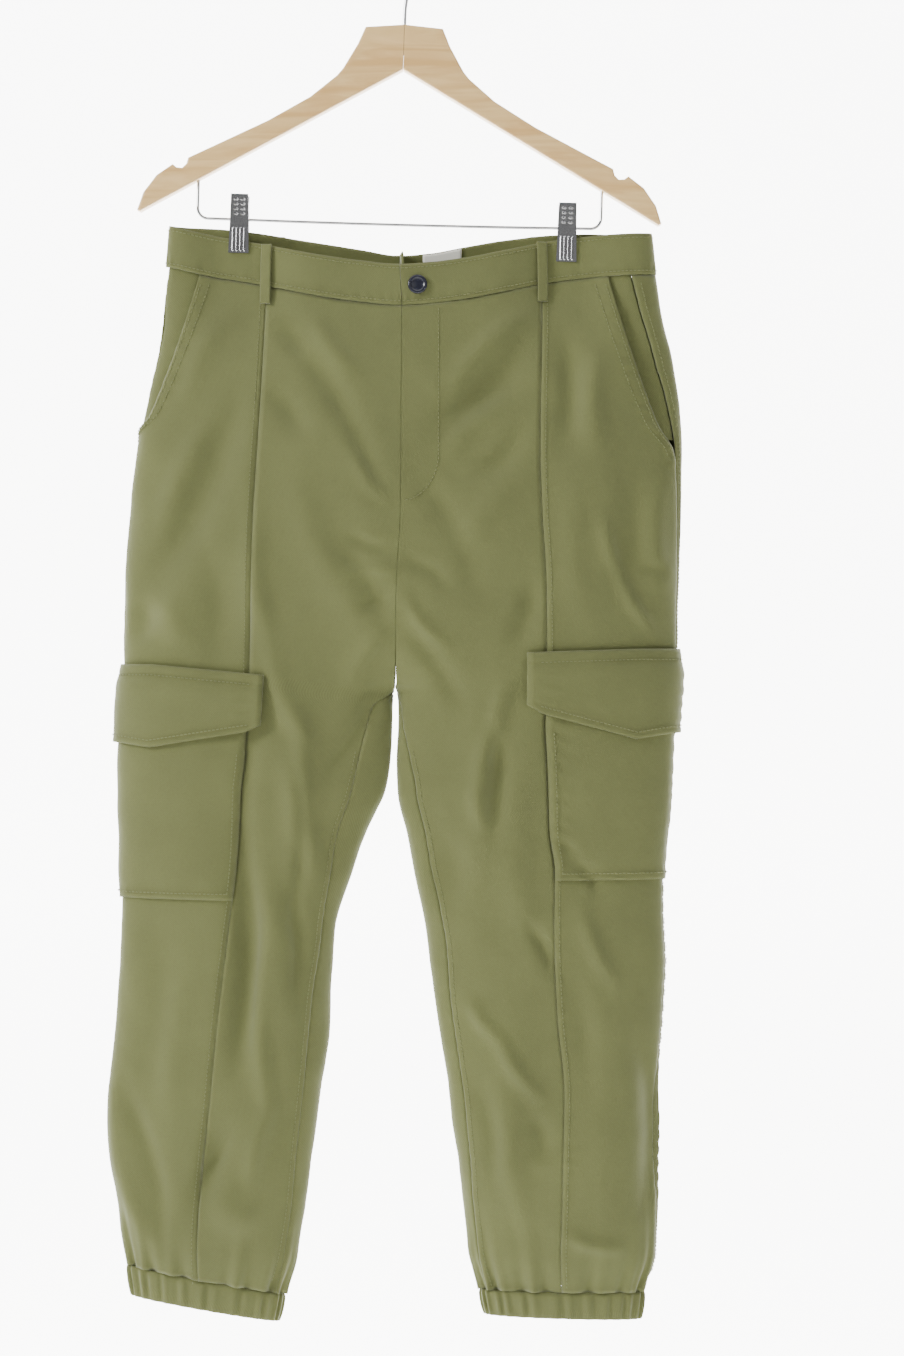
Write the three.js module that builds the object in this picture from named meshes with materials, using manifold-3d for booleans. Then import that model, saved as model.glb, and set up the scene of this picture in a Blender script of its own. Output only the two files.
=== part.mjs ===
// Olive cargo trousers with elastic cuffs, clipped by the waistband to a wooden hanger.
// Units are millimetres, +Z is up, the front of the trousers faces -Y, and the origin is the point
// inside the top of the hook that rests on a rail. Left and right are the wearer's.
// Every cloth piece is a thin wall on one shared surface: at each height a half of the garment is a
// flattened loop that runs from the inner edge, over the front, round the outer fold and back.
import * as THREE from "three";
import { mergeVertices } from "three/addons/utils/BufferGeometryUtils.js";
import Module from "manifold-3d";

const wasm = await Module();
wasm.setup();

// ---------------------------------------------------------------- driving sizes
const CLOTH = 1.2; // wall of one layer of twill
const BAND_WALL = 2.0; // waistband, cuffs and other folded layers
const BAND_PROUD = 0.5; // how far a folded layer stands out of the panels
const SEAM_GAP = 0.3; // space between two pieces
const BAND_HEIGHT = 35;
const CROTCH_Z = -649; // where the two legs part
const CROTCH_RISE = 84; // height over which the rise seam turns under
const FOLD_RADIUS = 4; // least radius of the side folds
const HANGER_TILT = THREE.MathUtils.degToRad(1.55);

// Heights at which both legs are measured. outer: the side fold. seam: the front panel seam.
// inner: the centre seam, and under the crotch the inner fold. inseam: how far the inside leg seam
// lies forward of the inner fold. depth: half the thickness of the filled out garment.
const RIGHT_ROWS = [
  { z: -250, outer: -201, seam: -118, inner: -6, inseam: 0, depth: 11 },
  { z: -290, outer: -204, seam: -118.5, inner: -6, inseam: 0, depth: 12 },
  { z: -324, outer: -208.5, seam: -119.5, inner: -4.5, inseam: 0, depth: 15 },
  { z: -361, outer: -213, seam: -121, inner: -4.5, inseam: 0, depth: 19 },
  { z: -404, outer: -222, seam: -123, inner: -5, inseam: 0, depth: 23 },
  { z: -446, outer: -227, seam: -125.5, inner: -5, inseam: 0, depth: 26 },
  { z: -497, outer: -234, seam: -128.5, inner: -5.5, inseam: 0, depth: 28 },
  { z: -564, outer: -240, seam: -130.5, inner: -9, inseam: 0, depth: 29 },
  { z: -649, outer: -241, seam: -132.5, inner: -10, inseam: 0, depth: 28 },
  { z: -662, outer: -241, seam: -133, inner: -11.5, inseam: 15, depth: 27.5 },
  { z: -678, outer: -240.5, seam: -134, inner: -12, inseam: 20, depth: 27 },
  { z: -708, outer: -240, seam: -136, inner: -14, inseam: 26, depth: 27 },
  { z: -734, outer: -240, seam: -139, inner: -18, inseam: 28, depth: 27 },
  { z: -767, outer: -240, seam: -140.5, inner: -33, inseam: 24, depth: 26 },
  { z: -801, outer: -240, seam: -143, inner: -45, inseam: 18, depth: 26 },
  { z: -852, outer: -242, seam: -149.5, inner: -59.5, inseam: 11, depth: 26 },
  { z: -920, outer: -245, seam: -158, inner: -63, inseam: 17, depth: 26 },
  { z: -987, outer: -250, seam: -164.5, inner: -73, inseam: 14, depth: 26 },
  { z: -1038, outer: -247.5, seam: -170, inner: -79, inseam: 13, depth: 26 },
  { z: -1089, outer: -243, seam: -175, inner: -86, inseam: 11, depth: 25 },
  { z: -1123, outer: -238, seam: -176, inner: -93, inseam: 10, depth: 22 },
  { z: -1157, outer: -233, seam: -175, inner: -103, inseam: 8, depth: 17 },
  { z: -1190, outer: -230, seam: -175, inner: -110, inseam: 7, depth: 15 },
];
const LEFT_ROWS = [
  { z: -250, outer: 205, seam: 113, inner: -6, inseam: 0, depth: 11 },
  { z: -290, outer: 209, seam: 113.5, inner: -6, inseam: 0, depth: 12 },
  { z: -324, outer: 214, seam: 114, inner: -4.5, inseam: 0, depth: 15 },
  { z: -361, outer: 222, seam: 113.5, inner: -4.5, inseam: 0, depth: 19 },
  { z: -404, outer: 229, seam: 112.5, inner: -5, inseam: 0, depth: 23 },
  { z: -446, outer: 232, seam: 112, inner: -5, inseam: 0, depth: 26 },
  { z: -497, outer: 231.5, seam: 113.5, inner: -5.5, inseam: 0, depth: 28 },
  { z: -564, outer: 230, seam: 117, inner: -9, inseam: 0, depth: 29 },
  { z: -649, outer: 227, seam: 117.5, inner: -10, inseam: 0, depth: 28 },
  { z: -662, outer: 225, seam: 117, inner: -8.2, inseam: 2, depth: 27.5 },
  { z: -678, outer: 223, seam: 116, inner: -8, inseam: 4, depth: 27 },
  { z: -708, outer: 220.5, seam: 117.5, inner: -9, inseam: 11, depth: 27 },
  { z: -734, outer: 219, seam: 118.5, inner: -8, inseam: 15, depth: 27 },
  { z: -767, outer: 217.5, seam: 119.5, inner: -0.5, inseam: 15, depth: 26 },
  { z: -801, outer: 216, seam: 124, inner: 6, inseam: 14, depth: 26 },
  { z: -852, outer: 217, seam: 123.5, inner: 16, inseam: 15, depth: 26 },
  { z: -920, outer: 215.5, seam: 126, inner: 25, inseam: 12, depth: 26 },
  { z: -987, outer: 213, seam: 132, inner: 34.5, inseam: 12, depth: 26 },
  { z: -1038, outer: 213.5, seam: 131, inner: 40.5, inseam: 11, depth: 26 },
  { z: -1089, outer: 212, seam: 130, inner: 47, inseam: 9, depth: 25 },
  { z: -1123, outer: 209, seam: 129, inner: 53, inseam: 7, depth: 22 },
  { z: -1157, outer: 200, seam: 130, inner: 61.5, inseam: 6, depth: 17 },
  { z: -1190, outer: 196, seam: 130, inner: 68, inseam: 6, depth: 15 },
];

// The waistband's top edge sags between the clips: its height at the front and at the back.
const WAIST_ROWS = [
  { x: -206, front: -256, back: -256 },
  { x: -165, front: -265, back: -258.5 },
  { x: -134, front: -270, back: -261.5 },
  { x: -75, front: -282, back: -269.5 },
  { x: -40, front: -287, back: -275 },
  { x: -7, front: -290, back: -280 },
  { x: 20, front: -288.5, back: -278 },
  { x: 50, front: -284.5, back: -272.5 },
  { x: 85, front: -277.5, back: -267 },
  { x: 125, front: -269, back: -264 },
  { x: 165, front: -265, back: -263 },
  { x: 212, front: -263, back: -263 },
];

// The largest folds of the cloth, from (x, z) to (toX, toZ): how wide, and how far out they stand.
const FOLDS = [
  { face: "front", x: -92, z: -600, toX: -100, toZ: -1000, width: 22, height: 5 },
  { face: "front", x: -124, z: -690, toX: -140, toZ: -960, width: 13, height: -5 },
  { face: "front", x: -60, z: -340, toX: -30, toZ: -560, width: 34, height: 3 },
  { face: "front", x: 90, z: -370, toX: 20, toZ: -480, width: 30, height: -3 },
  { face: "front", x: 150, z: -350, toX: 170, toZ: -590, width: 26, height: 3 },
  { face: "front", x: 62, z: -640, toX: 44, toZ: -900, width: 20, height: 4 },
  { face: "front", x: 90, z: -920, toX: 60, toZ: -1080, width: 22, height: 4 },
  { face: "back", x: -110, z: -560, toX: -125, toZ: -980, width: 28, height: 5 },
  { face: "back", x: 105, z: -600, toX: 120, toZ: -1000, width: 28, height: 5 },
  { face: "back", x: -70, z: -420, toX: -20, toZ: -600, width: 30, height: -4 },
  { face: "back", x: 60, z: -430, toX: 10, toZ: -610, width: 30, height: -4 },
];

// What differs between the halves. sideSeam: how far the side seam lies past the outer fold (or short
// of it, if negative) at the waist and at the knee. mouth: the slanting hand pocket, and how far it
// gapes. cargo, flap: heights, and how many of the back panel's columns they cover. cuff: its top and
// bottom edge at the inner and at the outer fold.
const HALVES = {
  right: {
    rows: RIGHT_ROWS,
    out: -1,
    sideSeam: { waist: 2, knee: 9 },
    mouth: { topX: -175, endX: -229, endZ: -446, gape: 1.5 },
    cargo: { top: -650, frontBottom: -826, sideBottom: -822 },
    flap: { frontTop: -636, sideTop: -627, drop: 48, point: 66, overhang: 6 },
    cuff: { innerTop: -1159, outerTop: -1134, innerBottom: -1182, outerBottom: -1160 },
  },
  left: {
    rows: LEFT_ROWS,
    out: 1,
    sideSeam: { waist: -12, knee: -3 },
    mouth: { topX: 169, endX: 224, endZ: -458, gape: 4 },
    cargo: { top: -632, frontBottom: -809, sideBottom: -808 },
    flap: { frontTop: -617, sideTop: -614, drop: 50, point: 74, overhang: 8 },
    cuff: { innerTop: -1155, outerTop: -1157, innerBottom: -1176, outerBottom: -1180 },
  },
};
const OVERLAY_BACK_COLUMNS = 5; // columns of the back panel that the cargo pockets reach over
const LOOP_WIDTH = 9;
const LOOP_HEIGHT = 51;
const BACK_LOOP_X = 108;
const FLY_WIDTH = 38;
const FLY_BOTTOM = -482;
const BUTTON = { x: 8.8, z: -308, radius: 8.2 };
const LABEL = { fromX: 46, toX: 13, below: 3, height: 26 };
const PLEATS = 22; // gathers round a cuff

// The hanger, in its own upright frame that then tilts about the hook.
const ARM_DEPTH = 13;
const HOOK_RADIUS = 22; // inside the hook
const HOOK_WIRE = 1.6; // radius
const STEM_FOOT = -112;
const BAR_WIRE = 1.25; // radius
const BAR = { halfWidth: 170.6, top: -216, bottom: -254.5, corner: 9 };
const CLIP_XS = { right: -135, left: 142 };
const CLIP = { top: -234, bottom: -283.5, halfTop: 7.3, halfBottom: 8.6, plate: 1.1 };
const JAW_Y = 3.5; // inner side of a jaw plate

// ---------------------------------------------------------------- small maths
const lerp = THREE.MathUtils.lerp;
const clamp = THREE.MathUtils.clamp;
const clamp01 = (t) => clamp(t, 0, 1);
const smooth = (t) => clamp01(t) ** 2 * (3 - 2 * clamp01(t));
const bell = (t) => Math.exp(-t * t);

// A curve through rows of a table, that never swings past them (monotone cubic).
function curveThrough(rows, key, column) {
  const sorted = [...rows].sort((a, b) => a[key] - b[key]);
  const at = sorted.map((r) => r[key]);
  const value = sorted.map((r) => r[column]);
  const slope = at.slice(1).map((x, i) => (value[i + 1] - value[i]) / (x - at[i]));
  const tangent = value.map((_, i) => {
    if (i === 0) return slope[0];
    if (i === value.length - 1) return slope[i - 1];
    const product = slope[i - 1] * slope[i];
    return product <= 0 ? 0 : (2 * product) / (slope[i - 1] + slope[i]);
  });
  return (x) => {
    let i = 0;
    while (i < at.length - 2 && x > at[i + 1]) i++;
    const step = at[i + 1] - at[i];
    const t = clamp01((x - at[i]) / step);
    return (
      value[i] * (1 + 2 * t) * (1 - t) ** 2 +
      value[i + 1] * t * t * (3 - 2 * t) +
      tangent[i] * step * t * (1 - t) ** 2 -
      tangent[i + 1] * step * t * t * (1 - t)
    );
  };
}

for (const half of Object.values(HALVES)) {
  for (const column of ["outer", "seam", "inner", "inseam", "depth"]) {
    half[column] = curveThrough(half.rows, "z", column);
  }
}
const waistFront = curveThrough(WAIST_ROWS, "x", "front");
const waistBack = curveThrough(WAIST_ROWS, "x", "back");

// A point of the hanger's upright frame, tilted.
const tilted = (x, z) => ({
  x: x * Math.cos(HANGER_TILT) + z * Math.sin(HANGER_TILT),
  z: z * Math.cos(HANGER_TILT) - x * Math.sin(HANGER_TILT),
});
const JAWS = Object.values(CLIP_XS).map((x) => tilted(x, CLIP.bottom));

// ---------------------------------------------------------------- the garment's surface
const PINCH_FLAT = 10;
const PINCH_ACROSS = 30;
const PINCH_DOWN = 60;
const MIN_HALF_DEPTH = 2.1; // of the panels, between the clips' jaws
const CROTCH_SPACE = 0.6; // keeps the two legs' inner folds off each other
const LOOP_STEPS = 60;
const BEND_WEIGHT = 34; // millimetres of cloth that count as much as one radian of bend

// The clips press the front and the back together: 1 far from them, and 0 between their jaws.
function openness(x, z) {
  return JAWS.reduce((left, jaw) => {
    const across = bell(Math.max(0, Math.abs(x - jaw.x) - PINCH_FLAT) / PINCH_ACROSS);
    return left * (1 - across * bell(Math.max(0, jaw.z - z) / PINCH_DOWN));
  }, 1);
}

// How far the large folds push one face out at a place: a soft ridge along each fold's line.
function foldHeight(face, x, z) {
  return FOLDS.filter((fold) => fold.face === face).reduce((sum, fold) => {
    const alongX = fold.toX - fold.x;
    const alongZ = fold.toZ - fold.z;
    const length = Math.hypot(alongX, alongZ);
    const t = ((x - fold.x) * alongX + (z - fold.z) * alongZ) / length ** 2;
    const across = ((x - fold.x) * alongZ - (z - fold.z) * alongX) / length;
    const ends = smooth((t + 0.1) / 0.35) * smooth((1.1 - t) / 0.35);
    return sum + fold.height * ends * bell(across / fold.width);
  }, 0);
}

// One half's loop at a height: its points, how far along it each lies, and how far it has bent by
// then. The share across goes from 0 at the inner edge to 1 at the outer fold. At the inner edge
// the loop closes in the share by which the rise seam has turned under towards the crotch.
const loops = new Map();
function loopAt(name, z) {
  const key = `${name} ${z.toFixed(3)}`;
  if (loops.has(key)) return loops.get(key);
  const half = HALVES[name];
  const turned = clamp01((CROTCH_Z + CROTCH_RISE - z) / CROTCH_RISE) ** 2;
  const inner = half.inner(z) + half.out * (SEAM_GAP / 2 + CROTCH_SPACE * turned);
  const outer = half.outer(z);
  const depth = half.depth(z);
  const power = clamp((2 * FOLD_RADIUS * Math.abs(outer - inner)) / depth ** 2, 3.5, 16);
  const points = [];
  for (let i = 0; i <= 2 * LOOP_STEPS; i++) {
    const front = i <= LOOP_STEPS;
    const share = (1 - Math.cos((Math.PI * i) / LOOP_STEPS)) / 2;
    const x = lerp(inner, outer, share);
    const round = Math.sqrt(1 - share ** power) * Math.sqrt(1 - turned * (1 - share) ** power);
    const open = openness(x, z);
    const full = (depth + foldHeight(front ? "front" : "back", x, z)) * open;
    const y = (full + MIN_HALF_DEPTH * (1 - open)) * round;
    points.push(new THREE.Vector2(x, front ? -y : y));
  }
  const along = [0];
  const bent = [0];
  for (let i = 1; i < points.length; i++) {
    along.push(along[i - 1] + points[i].distanceTo(points[i - 1]));
    const before = points[i].clone().sub(points[i - 1]);
    const after = points[Math.min(i + 1, points.length - 1)].clone().sub(points[i]);
    const angle = after.lengthSq() ? Math.abs(Math.atan2(before.cross(after), before.dot(after))) : 0;
    bent.push(bent[i - 1] + angle);
  }
  const made = { points, along, bent, fold: along[LOOP_STEPS], total: along.at(-1) };
  loops.set(key, made);
  return made;
}

// The value at x of a rising list of places, and of what belongs to each.
function lookUp(places, values, x) {
  let i = 0;
  while (i < places.length - 2 && x > places[i + 1]) i++;
  const t = clamp01((x - places[i]) / (places[i + 1] - places[i] || 1));
  return lerp(values[i], values[i + 1], t);
}

// The surface at a distance along a loop. Below the crotch a loop is closed and a distance goes on
// round it. Above, what goes past either end goes on over the other half.
function surface(name, z, distance) {
  const loop = loopAt(name, z);
  if (z > CROTCH_Z && (distance < 0 || distance > loop.total)) {
    const other = name === "right" ? "left" : "right";
    const past = distance < 0 ? -distance : loopAt(other, z).total - (distance - loop.total);
    return surface(other, z, past);
  }
  const d = (distance + loop.total) % loop.total || distance;
  const x = lookUp(loop.along, loop.points.map((p) => p.x), d);
  const y = lookUp(loop.along, loop.points.map((p) => p.y), d);
  return new THREE.Vector3(x, y, z);
}

// The surface's direction outwards, from its slopes along the loop and down the leg.
function outward(name, z, distance) {
  const step = 1.5;
  const low = z > CROTCH_Z ? Math.max(z - step, CROTCH_Z + 0.01) : z - step;
  const high = z > CROTCH_Z ? z + step : Math.min(z + step, CROTCH_Z);
  const along = surface(name, z, distance + step).sub(surface(name, z, distance - step));
  const down = surface(name, low, distance).sub(surface(name, high, distance));
  const normal = new THREE.Vector3().crossVectors(along, down).normalize();
  return normal.multiplyScalar(-HALVES[name].out);
}

// How far along the loop the front or the back passes a given x.
function distanceAtX(name, z, x, face = "front") {
  const { points, along } = loopAt(name, z);
  const out = HALVES[name].out;
  const from = face === "front" ? 0 : LOOP_STEPS;
  const xs = points.slice(from, from + LOOP_STEPS + 1).map((p) => out * p.x);
  const distances = along.slice(from, from + LOOP_STEPS + 1);
  if (face === "front") return lookUp(xs, distances, out * x);
  return lookUp(xs.reverse(), distances.reverse(), out * x);
}

// Where the seams run, as distances along the loop.
const inseamAt = (name, z) => {
  if (z >= CROTCH_Z) return 0;
  const half = HALVES[name];
  return distanceAtX(name, z, half.inner(z) + half.out * half.inseam(z));
};
const seamAt = (name, z) => distanceAtX(name, z, HALVES[name].seam(z));
const foldAt = (name, z) => loopAt(name, z).fold;
const sideSeamAt = (name, z) => {
  const { waist, knee } = HALVES[name].sideSeam;
  return foldAt(name, z) + lerp(waist, knee, clamp01((-300 - z) / 340));
};
const mouthAt = (name, z) => {
  const { topX, endX, endZ } = HALVES[name].mouth;
  const t = (-298 - z) / (-298 - endZ);
  const atSide = sideSeamAt(name, z);
  if (t >= 1) return atSide;
  const edge = distanceAtX(name, z, lerp(topX, endX, Math.max(0, t)));
  return Math.min(lerp(edge, atSide, smooth((t - 0.8) / 0.2)), atSide);
};
const endAt = (name, z) => loopAt(name, z).total + inseamAt(name, z);

// ---------------------------------------------------------------- walls of cloth
// Places between two seams, closer together where the loop bends.
const spread = (from, to, count) => (name, z) => {
  const { along, bent, total } = loopAt(name, z);
  const weigh = (d) => {
    const past = d > total ? d - total : 0;
    const base = lookUp(along, bent, Math.min(d, total)) + lookUp(along, bent, past);
    return d + BEND_WEIGHT * base;
  };
  const start = from(name, z);
  const end = to(name, z);
  const samples = Array.from({ length: 161 }, (_, i) => lerp(start, end, i / 160));
  const weights = samples.map(weigh);
  return Array.from({ length: count + 1 }, (_, i) =>
    lookUp(weights, samples, lerp(weights[0], weights[160], i / count)),
  );
};
const plus = (at, shift) => (name, z) => at(name, z) + shift;

// A grid of the surface. columns gives the places along the loop at a height, and each row's
// function gives its height at a point.
function grid(name, columns, rowHeights) {
  return rowHeights.map((heightOf, down) => {
    const count = columns(name, CROTCH_Z - 60).length;
    return Array.from({ length: count }, (_, i) => {
      let z = heightOf(new THREE.Vector3(HALVES[name].seam(-400), -10, -400));
      let distance = 0;
      for (let pass = 0; pass < 4; pass++) {
        distance = columns(name, z)[i];
        z = heightOf(surface(name, z, distance));
      }
      return { name, z, distance: columns(name, z)[i], across: i / (count - 1), down };
    });
  });
}

// A closed wall on a grid. lift(cell) is how far its outer side stands out of the surface, and the
// wall reaches in from there. A ring's last column is its first.
function wall(rows, { lift = () => 0, thickness = CLOTH, ring = false } = {}) {
  const columns = rows[0].length - (ring ? 1 : 0);
  const across = ring ? columns : columns - 1;
  const last = rows.length - 1;
  const positions = [];
  for (const side of [0, 1]) {
    for (const row of rows) {
      for (const cell of row.slice(0, columns)) {
        const point = surface(cell.name, cell.z, cell.distance);
        const normal = outward(cell.name, cell.z, cell.distance);
        positions.push(...point.addScaledVector(normal, lift(cell) - side * thickness));
      }
    }
  }
  const at = (side, j, i) => (side * rows.length + j) * columns + (i % columns);
  const faces = [];
  const quad = (a, b, c, d) => faces.push(a, b, c, a, c, d);
  for (let j = 0; j < last; j++) {
    for (let i = 0; i < across; i++) {
      quad(at(0, j, i), at(0, j + 1, i), at(0, j + 1, i + 1), at(0, j, i + 1));
      quad(at(1, j, i), at(1, j, i + 1), at(1, j + 1, i + 1), at(1, j + 1, i));
    }
    if (!ring) {
      quad(at(0, j, 0), at(1, j, 0), at(1, j + 1, 0), at(0, j + 1, 0));
      quad(at(0, j, across), at(0, j + 1, across), at(1, j + 1, across), at(1, j, across));
    }
  }
  for (let i = 0; i < across; i++) {
    quad(at(0, 0, i), at(0, 0, i + 1), at(1, 0, i + 1), at(1, 0, i));
    quad(at(0, last, i), at(1, last, i), at(1, last, i + 1), at(0, last, i + 1));
  }
  const geometry = new THREE.BufferGeometry();
  geometry.setAttribute("position", new THREE.Float32BufferAttribute(positions, 3));
  geometry.setIndex(rows[0][0].name === "right" ? faces.reverse() : faces);
  return geometry;
}

// ---------------------------------------------------------------- cuts and joins
function solid(geometry) {
  const bare = new THREE.BufferGeometry();
  bare.setAttribute("position", geometry.getAttribute("position"));
  bare.setIndex(geometry.index);
  const merged = mergeVertices(bare, 1e-4);
  return new wasm.Manifold(
    new wasm.Mesh({
      numProp: 3,
      vertProperties: merged.getAttribute("position").array,
      triVerts: new Uint32Array(merged.index.array),
    }),
  );
}
function geometryOf(manifold) {
  const mesh = manifold.getMesh();
  const geometry = new THREE.BufferGeometry();
  geometry.setAttribute("position", new THREE.BufferAttribute(mesh.vertProperties, 3));
  geometry.setIndex(new THREE.BufferAttribute(mesh.triVerts, 1));
  return geometry;
}
const cut = (geometry, ...tools) =>
  geometryOf(tools.reduce((left, tool) => left.subtract(solid(tool)), solid(geometry)));
const join = (...geometries) => geometryOf(wasm.Manifold.union(geometries.map(solid)));

// ---------------------------------------------------------------- materials
const finish = (color, roughness, metalness) => () =>
  new THREE.MeshStandardMaterial({ color, roughness, metalness });
const twill = finish(0x7f8157, 0.9, 0);
const wood = finish(0xdcc08c, 0.55, 0);
const steel = finish(0xb9bdbd, 0.3, 1);
const blackPlastic = finish(0x1a1b22, 0.4, 0);
const tape = finish(0xe6e4d4, 0.8, 0);

function piece(name, geometry, material) {
  const mesh = new THREE.Mesh(geometry, material());
  mesh.name = name;
  return mesh;
}

// ---------------------------------------------------------------- trouser panels
const EDGE = SEAM_GAP / 2;
const PANEL_LEVELS = [
  -310, -345, -385, -418, -436, -449, -462, -495, -535, -566, -590, -612, -630, -641, -649.1, -657,
  -668, -690, -715, -745, -780, -820, -870, -925, -980, -1035, -1085, -1120, -1150,
];
const ROW_FADE = 110; // how far from an edge the rows still follow its slope

const waistTop = (point) => (point.y <= 0 ? waistFront(point.x) : waistBack(point.x));
const bandBottom = (point) => waistTop(point) - BAND_HEIGHT;
const acrossLeg = (half, point) =>
  clamp01((point.x - half.inner(point.z)) / (half.outer(point.z) - half.inner(point.z)));
const cuffTop = ({ cuff, ...half }) => (point) =>
  lerp(cuff.innerTop, cuff.outerTop, acrossLeg(half, point));
const cuffBottom = ({ cuff, ...half }) => (point) =>
  lerp(cuff.innerBottom, cuff.outerBottom, acrossLeg(half, point));

// Heights of a long panel's rows: level in the middle, and bent to the waist and to the cuff.
const panelRows = (half) =>
  PANEL_LEVELS.map((level) => (point) => {
    const nearTop = 1 - smooth((PANEL_LEVELS[0] - level) / ROW_FADE);
    const nearCuff = 1 - smooth((level - PANEL_LEVELS.at(-1)) / ROW_FADE);
    const top = (bandBottom(point) - 2 * SEAM_GAP - PANEL_LEVELS[0]) * nearTop;
    return level + top + (cuffTop(half)(point) + EDGE - PANEL_LEVELS.at(-1)) * nearCuff;
  });

const inseamGap = (z) => (z < CROTCH_Z ? 2 * EDGE : 0);
const frontColumns = spread((n, z) => inseamAt(n, z) + inseamGap(z), plus(seamAt, -EDGE), 8);
const sideColumns = spread(plus(seamAt, EDGE), plus(mouthAt, -EDGE), 6);
const backColumns = spread(plus(sideSeamAt, EDGE), (n, z) => endAt(n, z) - inseamGap(z), 13);

const panel = (kind, columns) => (name) =>
  piece(`${kind}_${name}`, wall(grid(name, columns, panelRows(HALVES[name]))), twill);
const frontPanel = panel("front", frontColumns);
const sidePanel = panel("side", sideColumns);
const backPanel = panel("back", backColumns);

// ---------------------------------------------------------------- pockets
// The pocket bearer shows in the mouth of the hand pocket. It lies under the side panel's slanting
// edge, and further in where the mouth gapes.
function pocketBearer(name) {
  const UNDER = 12;
  const { gape, endZ } = HALVES[name].mouth;
  const under = (z) => UNDER * clamp01((z - endZ) / 100) + 3;
  const columns = spread((n, z) => mouthAt(n, z) - under(z), plus(sideSeamAt, -EDGE), 5);
  const levels = [-306, -328, -350, -370, -388, -402, endZ + 32];
  const rows = levels.map((level, j) => (point) =>
    j ? level : bandBottom(point) - 2 * SEAM_GAP,
  );
  const lift = ({ across, down }) => {
    const open = Math.sin((Math.PI * down) / (levels.length - 1)) * (1 - across);
    return -CLOTH - 2 * SEAM_GAP - 0.4 - gape * open;
  };
  return piece(`pocket_bearer_${name}`, wall(grid(name, columns, rows), { lift }), twill);
}

// What lies over the side seam has the columns of the panels under it.
const overlayColumns = (name, z) => [
  ...sideColumns(name, z),
  ...backColumns(name, z).slice(0, OVERLAY_BACK_COLUMNS + 1),
];
const POCKET_PUFF = 1.4;
const OVERLAY_GAP = 1.2; // between a panel and what lies on it

function cargoPocket(name) {
  const half = HALVES[name];
  const { top, frontBottom, sideBottom } = half.cargo;
  const shares = [0, 0.2, 0.4, 0.6, 0.8, 1];
  const rows = shares.map((share) => (point) =>
    lerp(top, lerp(frontBottom, sideBottom, acrossLeg(half, point)), share),
  );
  const lift = ({ across, down }) => {
    const middle = Math.sin((Math.PI * down) / 5) * Math.sin(Math.PI * across);
    return CLOTH + OVERLAY_GAP + POCKET_PUFF * middle;
  };
  return piece(`cargo_pocket_${name}`, wall(grid(name, overlayColumns, rows), { lift }), twill);
}

// The flap hangs over the cargo pocket. Its lower edge comes to a blunt point at its middle.
function cargoFlap(name) {
  const { frontTop, sideTop, drop, point, overhang } = HALVES[name].flap;
  const columns = (n, z) => [seamAt(n, z) - overhang, ...overlayColumns(n, z)];
  const start = (z) => columns(name, z)[0];
  const width = columns(name, frontTop - drop).at(-1) - start(frontTop - drop);
  const SHARES = [0, 0.2, 0.45, 0.75, 1];
  const FLAP_WALL = 1.6;
  const level = (columnShare, share) => {
    const high = lerp(frontTop, sideTop, Math.min(1, 2 * columnShare));
    return high - lerp(drop, point, 1 - Math.abs(2 * columnShare - 1)) * share;
  };
  const rows = SHARES.map((share, down) =>
    columns(name, frontTop).map((_, i, all) => {
      let z = frontTop;
      let distance = 0;
      for (let pass = 0; pass < 4; pass++) {
        distance = columns(name, z)[i];
        z = level(clamp01((distance - start(z)) / width), share);
      }
      return { name, z, distance, across: i / (all.length - 1), down };
    }),
  );
  const lift = ({ across, down }) => {
    const over = CLOTH + OVERLAY_GAP + POCKET_PUFF * Math.sin(Math.PI * across) * 0.75;
    return FLAP_WALL + OVERLAY_GAP + over * Math.min(1, down / 1.5) + 0.35 * down;
  };
  return piece(`cargo_flap_${name}`, wall(rows, { lift, thickness: FLAP_WALL }), twill);
}

// ---------------------------------------------------------------- cuffs
function cuff(name) {
  const half = HALVES[name];
  const columns = spread((n, z) => 0 * z, (n, z) => loopAt(n, z).total, 2 * PLEATS);
  const rows = [0, 0.3, 0.7, 1].map((share) => (point) =>
    lerp(cuffTop(half)(point) - EDGE, cuffBottom(half)(point), share),
  );
  const lift = ({ across, down }) => {
    const pleat = Math.cos(2 * Math.PI * PLEATS * across);
    return BAND_PROUD + (down === 1 || down === 2 ? 0.9 : 0.5) * pleat;
  };
  const made = wall(grid(name, columns, rows), { lift, thickness: BAND_WALL, ring: true });
  return piece(`cuff_${name}`, made, twill);
}

// ---------------------------------------------------------------- waist
const UNDERLAP = 34; // of the right half's band, under the left half's
const bandRows = [0, 0.08, 0.5, 0.92, 1].map((share) => (point) =>
  lerp(waistTop(point), bandBottom(point), share),
);
const rolled = (down) => (down === 0 || down === bandRows.length - 1 ? 0 : 1);

function waistband(name) {
  const under = name === "right" ? [-UNDERLAP, -UNDERLAP / 2, -1] : [];
  const start = name === "right" ? 4 : 0;
  const rest = spread(() => start, (n, z) => loopAt(n, z).total, 22);
  const columns = (n, z) => [...under, ...rest(n, z)];
  const lift = ({ distance, down }) => {
    const tucked = distance < 0 ? BAND_WALL + 2 * SEAM_GAP : 0;
    return BAND_PROUD * (0.4 + 0.6 * rolled(down)) - tucked;
  };
  const made = wall(grid(name, columns, bandRows), { lift, thickness: BAND_WALL });
  return piece(`waistband_${name}`, made, twill);
}

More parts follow.
